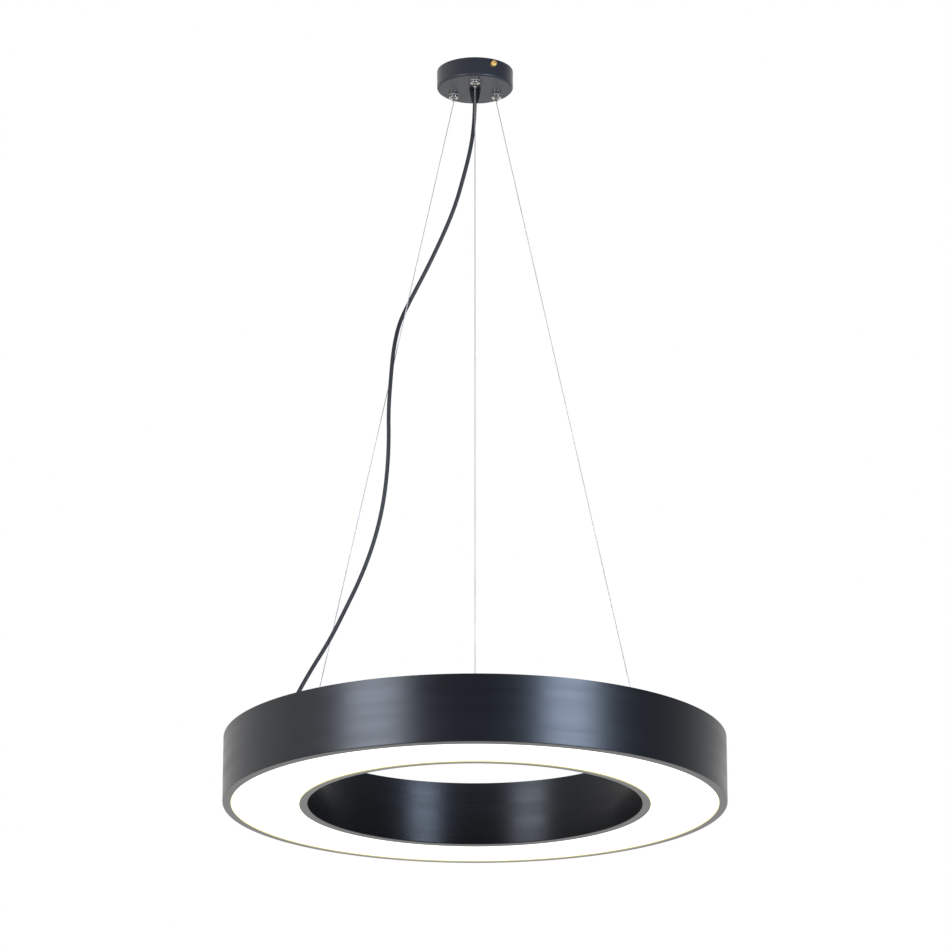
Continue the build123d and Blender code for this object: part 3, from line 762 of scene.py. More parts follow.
    def piece(self, name: str, finish: Union[Finish, Sequence[Finish]], slot: str, body: str,
              *nodes: str) -> bpy.types.Object:
        """Make the form a piece of the lamp.

        Args:
            name: the piece's name.
            finish: its finish or its numbered finishes.
            slot: the record's material slot.
            body: the body that it rides on.
            nodes: the nodes that it stands for.

        Returns:
            The piece, with its large flats kept flat in the shading.
        """
        piece = dress_mesh(self.mesh(name), finish, slot, body, *nodes)
        even = piece.modifiers.new("even_normals", "WEIGHTED_NORMAL")
        even.keep_sharp = True
        return piece


def dress_mesh(mesh: bpy.types.Mesh, finish: Union[Finish, Sequence[Finish]], slot: str, body: str,
               *nodes: str) -> bpy.types.Object:
    """Make a mesh a piece of the lamp, under the mesh's name.

    Args:
        mesh: the piece's mesh, in its place.
        finish: its finish or its numbered finishes.
        slot: the record's material slot; not used.
        body: the body that it rides on.
        nodes: the nodes that it stands for.

    Returns:
        The piece.
    """
    for polygon in mesh.polygons:
        polygon.use_smooth = True
    mesh.set_sharp_from_angle(angle=SHARP_ANGLE)
    for layer in (finish,) if isinstance(finish, Finish) else finish:
        mesh.materials.append(layer.material())
    piece = bpy.data.objects.new(mesh.name, mesh)
    bpy.context.scene.collection.objects.link(piece)
    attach(piece, body)
    if nodes:
        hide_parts(*nodes)
    LOG.info("piece %s: %d faces on %s", piece.name, len(mesh.polygons), body)
    return piece


def dress_node(finish: Finish, *nodes: str) -> None:
    """Give carried-over nodes a finish.

    Args:
        finish: the finish.
        nodes: the nodes' names.
    """
    for node in nodes:
        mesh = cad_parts[node].data
        mesh.materials.clear()
        mesh.materials.append(finish.material())
        LOG.info("node %s: %s", node, finish.name)


def upright(angle: float, radius: float, height: float = 0.0) -> Matrix:
    """Place at an angle in degrees and a radius and height in millimetres."""
    return turned_by(angle) @ Matrix.Translation((radius * MM, 0, height * MM))


def turned_by(angle: float) -> Matrix:
    """Turn about Z by an angle in degrees."""
    return Matrix.Rotation(math.radians(angle), 4, "Z")


@dataclass(frozen=True)
class Route:
    """A smooth line through the air, drawn by its control points in metres and turned by degrees about Z."""

    points: tuple[Point, ...]
    turn: float = 0.0

    def curve(self, name: str, thickness: float = 0.0, sides: int = 3, steps: int = 10) -> bpy.types.Object:
        """The route as a smooth curve object.

        Args:
            name: the curve's name.
            thickness: diameter in metres, or 0 for a bare line.
            sides: how finely the section is rounded.
            steps: points between two control points.

        Returns:
            The curve object, not yet in the scene.
        """
        data = bpy.data.curves.new(name, "CURVE")
        data.dimensions = "3D"
        data.resolution_u = steps
        spline = data.splines.new("NURBS")
        spline.points.add(len(self.points) - 1)
        turn = turned_by(self.turn)
        for point, place in zip(spline.points, self.points):
            point.co = (*(turn @ Vector(place)), 1.0)
        spline.order_u = 3
        spline.use_endpoint_u = True
        if thickness:
            data.bevel_depth = thickness / 2
            data.bevel_resolution = sides
            data.use_fill_caps = True
        return bpy.data.objects.new(name, data)

    def line(self, steps: int = 10) -> list[Vector]:
        """Points along the smooth line.

        Args:
            steps: points between two control points.

        Returns:
            The points in metres.
        """
        mesh = mesh_of(self.curve("route_line", steps=steps), "route_line")
        points = [vert.co.copy() for vert in mesh.vertices]
        bpy.data.meshes.remove(mesh)
        return points

    def length(self) -> float:
        """Length of the smooth line in metres."""
        points = self.line()
        return sum((after - before).length for before, after in zip(points, points[1:]))

    def tube(self, name: str, thickness: float, sides: int = 6) -> bpy.types.Mesh:
        """The route as the mesh of a round tube."""
        return mesh_of(self.curve(name, thickness, sides), name)


def mesh_of(holder: bpy.types.Object, name: str) -> bpy.types.Mesh:
    """Turn a curve object into a mesh.

    Args:
        holder: the curve object, which ends here.
        name: the mesh's name.

    Returns:
        The mesh.
    """
    mesh = bpy.data.meshes.new_from_object(holder)
    data = holder.data
    bpy.data.objects.remove(holder)
    bpy.data.curves.remove(data)
    mesh.name = name
    return mesh


@dataclass
class PowerCord:
    """The black cord down from the canopy, half round one wire and into the ring, in metres."""

    diameter: float = 0.0050
    exit_height: float = -0.0415
    ring_entry: float = -0.8505
    route: Route = Route((
        (0.0, 0.0, -0.016), (0.0, 0.0, -0.056), (-0.0042, 0.0065, -0.0953),
        (-0.0136, 0.0145, -0.133), (-0.025, 0.0235, -0.172), (-0.0415, 0.033, -0.21),
        (-0.0605, 0.0435, -0.248), (-0.079, 0.0522, -0.282), (-0.094, 0.055, -0.313),
        (-0.1011, 0.0536, -0.348), (-0.1042, 0.0544, -0.386), (-0.107, 0.0582, -0.428),
        (-0.1062, 0.0618, -0.47), (-0.1086, 0.066, -0.512), (-0.1143, 0.0706, -0.554),
        (-0.125, 0.0754, -0.5965), (-0.1405, 0.0802, -0.638), (-0.1595, 0.0852, -0.6775),
        (-0.178, 0.0885, -0.715), (-0.2015, 0.0875, -0.7545), (-0.221, 0.081, -0.794),
        (-0.236, 0.064, -0.834), (-0.236, 0.064, -0.876),
    ), LAMP_TURN)

    def build(self) -> None:
        mesh = self.route.tube("power_cord_jacket", self.diameter)
        cord = dress_mesh(mesh, BLACK_JACKET, "black_cord", "canopy", "power_cord")
        self.route.length()
        self.route.line()
        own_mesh(cord)


@dataclass
class SuspensionWire:
    """One stranded wire from its gripper to its anchor on the ring, in metres."""

    number: int
    angle: float
    diameter: float = 0.0012
    strands: int = 6
    strands_across: int = 3
    lay_length: float = 0.011
    steps_per_lay: int = 8
    fine_steps: int = 1024
    nose: float = -0.0334
    collar_end: float = -0.0300
    anchor_bend: float = -0.8524
    points: tuple[Point, ...] = (
        (0.031, 0.0, -0.004), (0.031, 0.0, -0.0278), (0.031, 0.0, -0.0350), (0.0328, 0.0, -0.04197),
        (0.2392, 0.0, -0.84543), (0.241, 0.0, -0.8524), (0.241, 0.0, -0.8596), (0.241, 0.0, -0.871),
    )

    def build(self) -> None:
        route = Route(self.points, self.angle)
        line = self._spaced(route.line(self.fine_steps))
        mesh = self._rope(line)
        wire = dress_mesh(mesh, WIRE_STEEL, "wire_steel", "canopy", f"suspension_wire_{self.number}")
        route.length()
        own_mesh(wire)

    def _spaced(self, line: Sequence[Vector]) -> list[Vector]:
        """Thin out a fine line.

        Args:
            line: points close together.

        Returns:
            The points that lie a step apart, a few for each turn of the lay.
        """
        step = self.lay_length / self.steps_per_lay
        kept = [line[0]]
        for point in line[1:-1]:
            if (point - kept[-1]).length >= step:
                kept.append(point)
        return [*kept, line[-1]]

    def _rope(self, line: Sequence[Vector]) -> bpy.types.Mesh:
        """Lay strands round a line.

        Args:
            line: the wire's middle.

        Returns:
            The strands as one mesh.
        """
        strand = self.diameter / self.strands_across
        data = bpy.data.curves.new("strands", "CURVE")
        data.dimensions = "3D"
        data.bevel_depth = strand / 2
        data.bevel_resolution = 1
        data.use_fill_caps = True
        across = turned_by(self.angle) @ Vector((0, 1, 0))
        for number in range(self.strands + 1):
            spline = data.splines.new("POLY")
            spline.points.add(len(line) - 1)
            radius = strand if number else 0.0
            along = 0.0
            for index, place in enumerate(line):
                ahead = line[min(index + 1, len(line) - 1)] - line[max(index - 1, 0)]
                side = across.cross(ahead).normalized()
                if index:
                    along += (place - line[index - 1]).length
                turn = FULL_TURN * (along / self.lay_length + number / self.strands)
                offset = radius * (math.cos(turn) * across + math.sin(turn) * side)
                spline.points[index].co = (*(place + offset), 1.0)
        return mesh_of(bpy.data.objects.new("strands", data), f"suspension_wire_{self.number}_rope")


@dataclass
class CordGland:
    """A black cord gland with hexagon, ribbed tapered cap and cord mouth, in millimetres."""

    name: str
    body: str
    place: Matrix
    sheet: float
    corner_radius: float = 8.08
    hexagon_height: float = 3.5
    thread_radius: float = 5.0
    thread_past: float = 5.5
    neck_radius: float = 4.3
    neck_length: float = 8.0
    cap_radius: float = 6.5
    tip_radius: float = 4.7
    cap_length: float = 14.0
    mouth_radius: float = 2.7
    edge_round: float = 0.4
    shoulder_round: float = 0.3
    tip_round: float = 1.0
    cap_clearance: float = 0.05
    cap_gap: float = 0.1
    cap_collar: float = 1.6
    cap_sink: float = 0.8
    rib_count: int = 20
    rib_depth: float = 0.3
    rib_groove: float = 0.28
    rib_sink: float = 1.4
    rib_start: float = 2.2
    rib_overlap: float = 0.2
    plain_end: float = 4.4

    def build(self) -> None:
        """Make the gland's hexagon and cap, and dress its nut."""
        low = -self.sheet - self.thread_past
        neck = self.hexagon_height + self.neck_length
        stem = Form().turned([
            (self.mouth_radius, low), (self.thread_radius, low), (self.thread_radius, OVERLAP),
            (self.neck_radius, OVERLAP), (self.neck_radius, neck), (self.mouth_radius, neck),
        ], {1: self.edge_round}, steps=48)
        flange = Form().hexagon(self.corner_radius, self.neck_radius - OVERLAP, 0.0, self.hexagon_height)
        flange.joined(stem).moved(self.place)
        flange.piece(f"{self.name}_hexagon", BLACK_NYLON, "black_nylon", self.body, self.name)
        self._cap().moved(self.place).piece(f"{self.name}_ribbed_cap", BLACK_NYLON, "black_nylon", self.body,
                                            f"{self.name}_cap")
        dress_node(BLACK_NYLON, f"{self.name}_nut")

    def _cap(self) -> Form:
        """Tapered cap with ribs on its lower part and a rounded mouth.

        Returns:
            The cap on Z.
        """
        low = self.hexagon_height
        tip = low + self.cap_length
        neck = low + self.neck_length
        bore = self.neck_radius + self.cap_clearance
        wide = self.cap_radius - self.rib_depth * self.cap_sink
        narrow = self.tip_radius - self.rib_depth * self.cap_sink
        cap = Form().turned([
            (bore, low + self.cap_gap), (wide, low + self.cap_gap), (wide, low + self.cap_collar),
            (narrow, tip), (self.mouth_radius, tip), (self.mouth_radius, neck), (bore, neck),
        ], {1: self.edge_round, 2: self.shoulder_round, 3: self.tip_round, 4: self.edge_round}, steps=64)
        rib_low = low + self.rib_start
        rib_high = tip - self.plain_end
        share = (self.cap_length - self.plain_end) / self.cap_length
        upper = self.cap_radius + (self.tip_radius - self.cap_radius) * share
        base = self.rib_depth * self.rib_sink
        grip = Form().prism(self.rib_count, self.cap_radius - base, rib_low, rib_high, upper - base)
        hollow = Form().prism(self.rib_count, bore, rib_low - self.rib_overlap, rib_high + self.rib_overlap)
        return cap.joined(grip.ribbed(self.rib_groove, self.rib_depth).cut(hollow))


@dataclass
class WireGripper:
    """A nickel wire gripper in the canopy's floor, with its spring and nose, in millimetres."""

    number: int
    angle: float
    radius: float = 31.0
    floor: float = -24.0
    nut_height: float = 2.0
    collar_radius: float = 6.0
    collar_tip: float = 3.5
    collar_height: float = 4.0
    collar_edge: float = 2.4
    stem_radius: float = 4.0
    stem_top: float = 17.0
    bore_radius: float = 2.15
    cone_low: float = 2.0
    cone_top: float = 6.82
    chamber_radius: float = 3.0
    chamber_top: float = 15.0
    nose_radius: float = 2.1
    nose_bore: float = 0.8
    nose_tip: float = -9.4
    plunger_top: float = 7.01
    ball_height: float = 5.21
    window_radius: float = 1.05
    window_sides: int = 24
    window_turns: tuple[float, ...] = (0.0, 120.0, 240.0)
    spring_radius: float = 1.7
    spring_wire: float = 0.5
    spring_turns: int = 3
    spring_seat: float = 0.02
    press: float = 2.0

    def build(self) -> None:
        """Make the collar and stem, the sprung nose and the spring."""
        place = upright(self.angle, self.radius, self.floor)
        self._stem().moved(place).piece(f"gripper_{self.number}_stem", NICKEL, "nickel", "canopy",
                                        f"gripper_body_{self.number}")
        self._nose().moved(place).piece(f"gripper_{self.number}_nose", NICKEL, "nickel",
                                        f"plunger_{self.number}", f"gripper_plunger_{self.number}")
        self._spring(place)
        dress_node(BRIGHT_STEEL, f"gripper_balls_{self.number}")

    def _stem(self) -> Form:
        """Tapered collar and stem, bored for the nose, the cone and the spring.

        Returns:
            The stem on Z.
        """
        seat = -self.nut_height
        low = seat - self.collar_height
        return Form().turned([
            (self.bore_radius, low), (self.collar_tip, low), (self.collar_radius, seat - self.collar_edge),
            (self.collar_radius, seat), (self.stem_radius, seat), (self.stem_radius, self.stem_top),
            (self.chamber_radius, self.stem_top), (self.chamber_radius, self.cone_top),
            (self.bore_radius, self.cone_low),
        ], {0: 0.25, 1: 0.4, 2: 0.3, 3: 0.3, 5: 0.3}, steps=64, segments=3)

    def _nose(self) -> Form:
        """Tube with a rounded nose below and three openings for the balls above.

        Returns:
            The nose on Z.
        """
        nose = Form().turned([
            (self.nose_bore, self.nose_tip), (self.nose_radius, self.nose_tip),
            (self.nose_radius, self.plunger_top), (self.nose_bore, self.plunger_top),
        ], {0: 0.3, 1: 0.7}, steps=48)
        windows = []
        for turn in self.window_turns:
            window = Form().prism(self.window_sides, self.window_radius, 0.0, 2 * self.nose_radius)
            place = upright(turn, 0.0, self.ball_height)
            windows.append(window.moved(place @ Matrix.Rotation(QUARTER_TURN, 4, "Y")))
        return nose.cut(*windows)

    def _spring(self, place: Matrix) -> None:
        """Coil between the nose's top and the stem's cap.

        Args:
            place: the gripper's place.
        """
        low = self.plunger_top + self.spring_wire / 2 + self.spring_seat
        high = self.chamber_top - self.spring_wire / 2 - self.spring_seat
        coil = Form().wound(self.spring_radius, self.spring_wire, low, (high - low) / self.spring_turns,
                            self.spring_turns)
        mesh = coil.moved(place).mesh(f"gripper_{self.number}_coil")
        spring = dress_mesh(mesh, BRIGHT_STEEL, "bright_steel", "canopy", f"gripper_spring_{self.number}")
        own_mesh(spring)


@dataclass
class Canopy:
    """The round black canopy, its bracket and what is screwed to it, in millimetres but for the cores."""

    outer_radius: float = 47.5
    height: float = 24.0
    wall: float = 1.0
    rounding: float = 3.0
    grip_radius: float = 31.0
    grip_hole: float = 4.3
    grip_hole_sides: int = 40
    gland_hole: float = 5.3
    gland_hole_sides: int = 48
    hole_past: float = 1.0
    rim_round: float = 0.3
    nut_corner: float = 6.35
    nut_bore: float = 4.05
    nut_height: float = 2.0
    screw_height: float = -7.0
    screw_seat: float = 47.65
    screw_hole: float = 2.3
    screw_hole_sides: int = 32
    head_radius: float = 3.6
    head_length: float = 5.0
    head_round: float = 2.0
    shank_radius: float = 2.0
    shank_length: float = 8.15
    slot_length: float = 20.0
    slot_width: float = 0.9
    slot_depth: float = 1.3
    slot_turn: float = 35.0
    core_diameter: float = 0.0013
    core_pitch: float = 0.0014
    pole_pitch: float = 0.005
    core_rise: tuple[float, ...] = (-0.016, -0.0105, -0.0075)
    core_bend: float = 0.002
    core_bend_share: float = 0.35
    core_run: tuple[float, ...] = (0.005, 0.009, 0.013)

    def build(self) -> None:
        """Make the cup, the side screws, the nuts and the cores, and dress what stays."""
        self._cup()
        self._side_screw(1, -1)
        self._side_screw(2, 1)
        self._nuts("gripper_outer_nuts", -self.height - self.nut_height)
        self._nuts("gripper_inner_nuts", -self.height + self.wall)
        self._cores()
        dress_node(NICKEL, "gripper_caps")
        dress_node(ZINC, "ceiling_bracket", "terminal_screw")
        dress_node(BRASS, "earth_screw")
        dress_node(WHITE_NYLON, "terminal_block")

    def _cup(self) -> None:
        """Drawn cup with a rounded lower edge and the holes of grippers, gland and side screws."""
        inner = self.outer_radius - self.wall
        floor = self.wall - self.height
        cup = Form().turned([
            (0, -self.height), (self.outer_radius, -self.height), (self.outer_radius, 0), (inner, 0),
            (inner, floor), (0, floor),
        ], {1: self.rounding, 2: self.rim_round, 3: self.rim_round, 4: self.rounding - self.wall},
            steps=192, segments=8)
        low = -self.height - self.hole_past
        high = floor + self.hole_past
        holes = []
        for angle in WIRE_ANGLES:
            hole = Form().prism(self.grip_hole_sides, self.grip_hole, low, high)
            holes.append(hole.moved(upright(angle, self.grip_radius)))
        holes.append(Form().prism(self.gland_hole_sides, self.gland_hole, low, high))
        across = Form().prism(self.screw_hole_sides, self.screw_hole, -2 * self.outer_radius,
                              2 * self.outer_radius)
        place = Matrix.Translation((0, 0, self.screw_height * MM))
        across.moved(place @ Matrix.Rotation(QUARTER_TURN, 4, "X"))
        cup.cut(*holes, across)
        # the cup takes the lighter copy of the black lacquer, a painted light
        cup.piece("canopy_shell", CANOPY_LACQUER_PAINTED_LIGHT, "satin_black", "canopy", "canopy_cup")

    def _side_screw(self, number: int, side: int) -> None:
        """Brass screw with a rounded, slotted head.

        Args:
            number: the screw's number.
            side: the side that it stands on along Y, 1 or -1.
        """
        screw = Form().turned([
            (0, -self.shank_length), (self.shank_radius, -self.shank_length), (self.shank_radius, 0),
            (self.head_radius, 0), (self.head_radius, self.head_length), (0, self.head_length),
        ], {1: 0.5, 3: 0.3, 4: self.head_round}, steps=64, segments=8)
        slot = (self.slot_length, self.slot_width, 2 * self.slot_depth)
        screw.cut(Form().block(slot, (0.0, 0.0, self.head_length)))
        place = Matrix.Translation((0, side * self.screw_seat * MM, self.screw_height * MM))
        facing = Matrix.Rotation(-side * QUARTER_TURN, 4, "X") @ turned_by(self.slot_turn)
        screw.moved(place @ facing).piece(f"brass_screw_{number}", BRASS, "brass", f"side_screw_{number}",
                                          f"side_screw_{number}")

    def _nuts(self, node: str, low: float) -> None:
        """Hexagonal nuts of the three grippers, on one side of the canopy's floor.

        Args:
            node: the node that they stand for.
            low: height of their lower faces.
        """
        nut = Form().hexagon(self.nut_corner, self.nut_bore, low, low + self.nut_height)
        nuts = nut.repeated(*[upright(angle, self.grip_radius) for angle in WIRE_ANGLES])
        # the nuts take the lighter copy of the nickel, a painted reflection
        nuts.piece(f"{node}_hexagons", NICKEL_PAINTED_REFLECTION, "nickel", "canopy", node)

    def _cores(self) -> None:
        """Three insulated cores from the cord's end to the terminal block."""
        cores = Form()
        level = self.core_rise[-1]
        for pole in (-1, 0, 1):
            across = pole * self.core_pitch
            spread = pole * self.pole_pitch
            rise = [(across, 0.0, height) for height in self.core_rise]
            bend = (across + self.core_bend_share * (spread - across), self.core_bend, level)
            run = [(spread, reach, level) for reach in self.core_run]
            cores.taken(Route((*rise, bend, *run)).tube("core", self.core_diameter, sides=4))
        dress_mesh(cores.mesh("canopy_cores"), CORES, "lead_white", "canopy", "canopy_leads")


@dataclass
class RingHousing:
    """The ring's rolled walls, opal sheet, cover, anchors and screws, in millimetres."""

    outer_radius: float = 300.0
    inner_radius: float = 199.0
    bottom: float = -944.0
    outer_height: float = 80.0
    inner_height: float = 78.0
    wall: float = 1.2
    bend: float = 1.0
    lip: float = 10.0
    lip_droop: float = 0.6
    lip_facing: float = -0.8
    edge_round: float = 0.25
    edge_share: float = 1.5
    rim_round: float = 0.3
    sheet_thickness: float = 3.0
    sheet_gap: float = 0.5
    sheet_round: float = 0.3
    cover_top: float = -868.0
    cover: float = 1.5
    tab_width: float = 14.0
    tab_reach: float = 11.0
    tab_thickness: float = 1.5
    tab_leg: float = 12.0
    tab_overlap: float = 0.5
    tab_edge: float = 0.25
    tab_hole: float = 6.5
    weld_depth: float = 0.4
    tapped_hole: float = 2.05
    tapped_hole_sides: int = 24
    anchor_radius: float = 241.0
    anchor_corner: float = 6.93
    anchor_hexagon: float = 4.0
    anchor_barrel: float = 4.0
    anchor_top: float = 14.0
    anchor_stem: float = 7.0
    anchor_bore: float = 0.85
    ferrule_pocket: float = 2.1
    ferrule_seat: float = 3.0
    standoff_radius: float = 249.5
    standoff_turn: float = 30.0
    head_radius: float = 3.8
    head_flat: float = 2.28
    head_edge: float = 1.17
    head_height: float = 2.6
    socket_corner: float = 1.45
    socket_depth: float = 1.3
    shank_radius: float = 2.0
    cover_screw: float = 6.0
    standoff_screw: float = 8.5
    steps: int = 288

    def build(self) -> None:
        """Make the walls, the opal sheet, the anchors and the screws, and dress the cover."""
        self._wall("outer_wall", self.outer_radius, self.outer_height, -1, BLACK_LACQUER)
        # the inner wall takes the lighter copy of the black lacquer, a painted light
        self._wall("inner_wall", self.inner_radius, self.inner_height, 1, INNER_LACQUER_PAINTED_LIGHT)
        self._sheet()
        for number, angle in enumerate(WIRE_ANGLES, 1):
            self._anchor(number, angle)
        outer_tab = self.outer_radius - self.wall - self.tab_hole
        inner_tab = self.inner_radius + self.wall + self.tab_hole
        tabs = [(radius, angle) for angle in WIRE_ANGLES for radius in (outer_tab, inner_tab)]
        self._screws("cover_screws", tabs, self.cover_screw)
        standoffs = [(self.standoff_radius, angle + self.standoff_turn) for angle in WIRE_ANGLES]
        self._screws("standoff_screws", standoffs, self.standoff_screw)
        dress_node(COVER_LACQUER, "top_cover")
        dress_node(ZINC, "anchor_nuts")
        dress_node(BRIGHT_STEEL, "wire_ferrules")

    def _wall(self, node: str, face: float, height: float, side: int, lacquer: Finish) -> None:
        """Rolled wall with its lip and tabs.

        Args:
            node: the node that it stands for.
            face: radius of the wall's outer face.
            height: the wall's height.
            side: 1 where the lip points away from the axis, else -1.
            lacquer: the wall's finish above its lip.
        """
        back = face + side * self.wall
        lip = face + side * self.lip
        low = self.bottom
        rounds = {0: self.bend, 1: self.rim_round, 2: self.rim_round, 4: self.edge_round, 5: self.edge_round}
        wall = Form().turned([
            (face, low + self.lip_droop), (face, low + height), (back, low + height), (back, low + self.wall),
            (lip, low + self.wall), (lip, low),
        ], rounds, self.steps)
        lip_top = (low + self.wall) * MM
        # the lip's underside takes the light grey copy of the lacquer, a painted sheen
        wall.painted(1, lambda spot: spot.normal.z < self.lip_facing
                     and spot.calc_center_median().z < lip_top)
        # faces at the lip's cut edge take the painted yellow glow
        edge = (lip - side * self.edge_round * self.edge_share) * MM
        wall.painted(2, lambda spot: side * (spot.calc_center_median().xy.length - edge) > 0)
        leg_top = self.cover_top - self.cover
        tabs = [self._tab(back, side).moved(upright(angle, 0.0, leg_top)) for angle in WIRE_ANGLES]
        finishes = (lacquer, LIP_LACQUER_PAINTED_SHEEN, LIP_EDGE_PAINTED_GLOW)
        wall.joined(*tabs).piece(f"{node}_rolled", finishes, "satin_black", "ring", node)

    def _tab(self, back: float, side: int) -> Form:
        """Bent tab on a wall's inner face, with the cover screw's hole.

        Args:
            back: radius of the wall's inner face.
            side: 1 where the tab points away from the axis, else -1.

        Returns:
            The tab along X, under height 0.
        """
        weld = back - side * self.weld_depth
        ledge_end = back + side * self.tab_reach
        leg_end = back + side * self.tab_thickness
        ledge = Form().block((abs(ledge_end - weld), self.tab_width, self.tab_thickness),
                             ((weld + ledge_end) / 2, 0.0, -self.tab_thickness / 2)).softened(self.tab_edge)
        hole = Form().prism(self.tapped_hole_sides, self.tapped_hole, -2 * self.tab_thickness,
                            self.tab_thickness)
        hole.moved(Matrix.Translation(((back + side * self.tab_hole) * MM, 0, 0)))
        leg_length = self.tab_leg - self.tab_thickness + self.tab_overlap
        leg = Form().block((abs(leg_end - weld), self.tab_width, leg_length),
                           ((weld + leg_end) / 2, 0.0, leg_length / 2 - self.tab_leg)).softened(self.tab_edge)
        return ledge.cut(hole).joined(leg)

    def _sheet(self) -> None:
        """Opal sheet that lies on the lips."""
        low = self.bottom + self.wall
        high = low + self.sheet_thickness
        inner = self.inner_radius + self.wall + self.sheet_gap
        outer = self.outer_radius - self.wall - self.sheet_gap
        corners = [(inner, low), (outer, low), (outer, high), (inner, high)]
        rounds = dict.fromkeys(range(len(corners)), self.sheet_round)
        sheet = Form().turned(corners, rounds, self.steps, segments=2)
        sheet.piece("opal_sheet", OPAL, "opal", "ring", "diffuser")

    def _anchor(self, number: int, angle: float) -> None:
        """Nickel anchor with its hexagon and barrel.

        Args:
            number: the anchor's number.
            angle: its angle in degrees.
        """
        anchor = Form().turned([
            (self.ferrule_pocket, -self.anchor_stem), (self.anchor_barrel, -self.anchor_stem),
            (self.anchor_barrel, self.anchor_top), (self.anchor_bore, self.anchor_top),
            (self.anchor_bore, self.ferrule_seat), (self.ferrule_pocket, self.ferrule_seat),
        ], {1: 0.4, 2: 1.5, 3: 0.4}, steps=64, segments=5)
        bore = self.anchor_barrel - OVERLAP
        anchor.joined(Form().hexagon(self.anchor_corner, bore, 0.0, self.anchor_hexagon))
        anchor.moved(upright(angle, self.anchor_radius, self.cover_top))
        anchor.piece(f"anchor_{number}_turned", NICKEL, "nickel", "ring", f"wire_anchor_{number}")

    def _screws(self, node: str, spots: Sequence[tuple[float, float]], length: float) -> None:
        """Button-headed screws with hexagonal sockets on the cover.

        Args:
            node: the node that they stand for.
            spots: radius and angle of each.
            length: length of the shank.
        """
        screw = Form().turned([
            (0, -length), (self.shank_radius, -length), (self.shank_radius, 0), (self.head_radius, 0),
            (self.head_radius, self.head_edge), (self.head_flat, self.head_height), (0, self.head_height),
        ], {1: 0.4, 3: 0.2, 4: 0.5, 5: 0.3}, steps=36, segments=3)
        socket_end = self.head_height - self.socket_depth
        screw.cut(Form().prism(HEXAGON, self.socket_corner, socket_end, 2 * self.head_height))
        screws = screw.repeated(*[upright(angle, radius, self.cover_top) for radius, angle in spots])
        screws.piece(f"{node}_socketed", BLACK_SCREW, "black_screw", "ring", node)


@dataclass
class LightEngine:
    """What the closed ring holds: tray, boards, chips, driver and leads, in metres."""

    lead_diameter: float = 0.004
    input_route: Route = Route((
        (-0.17833, 0.1673, -0.876), (-0.17833, 0.1673, -0.89), (-0.22261, 0.1391, -0.8935),
        (-0.24481, 0.09594, -0.8935), (-0.24576, 0.07797, -0.8935),
    ))
    output_route: Route = Route((
        (-0.25256, -0.05185, -0.8935), (-0.2535, -0.06983, -0.8935), (-0.22612, -0.10544, -0.8935),
        (-0.22612, -0.10544, -0.907),
    ))

    def build(self) -> None:
        """Make the two leads and dress the rest."""
        self._lead("driver_input_lead", self.input_route, BLACK_JACKET, "black_cord")
        self._lead("driver_output_lead", self.output_route, WHITE_LEAD, "lead_white")
        dress_node(SHEET_ALUMINIUM, "led_tray")
        dress_node(ZINC, "tray_standoffs", "tray_screws", "driver_screws")
        dress_node(BOARD_LACQUER, "led_boards")
        dress_node(CHIP_RESIN, "led_chips")
        dress_node(WHITE_LEAD, "board_links")
        dress_node(WHITE_NYLON, "led_driver")

    def _lead(self, node: str, route: Route, finish: Finish, slot: str) -> None:
        """Smooth lead in place of the plain one.

        Args:
            node: the node that it stands for.
            route: its route.
            finish: its finish.
            slot: the record's material slot.
        """
        lead = dress_mesh(route.tube(f"{node}_jacket", self.lead_diameter), finish, slot, "ring", node)
        route.length()
        route.line()


@dataclass(frozen=True)
class Softbox:
    """An upright area lamp round the pendant's axis, in metres, degrees and watts."""

    name: str
    angle: float
    distance: float
    height: float
    width: float
    tallness: float
    power: float
    tint: Colour

    def build(self) -> None:
        """Hang the lamp, facing the ring."""
        data = bpy.data.lights.new(self.name, "AREA")
        data.shape = "RECTANGLE"
        data.size = self.width
        data.size_y = self.tallness
        data.energy = self.power
        data.color = self.tint
        lamp = bpy.data.objects.new(self.name, data)
        turn = math.radians(self.angle)
        lamp.location = (self.distance * math.sin(turn), -self.distance * math.cos(turn), self.height)
        lamp.rotation_euler = (QUARTER_TURN, 0.0, turn)
        lamp.visible_camera = False
        bpy.context.scene.collection.objects.link(lamp)


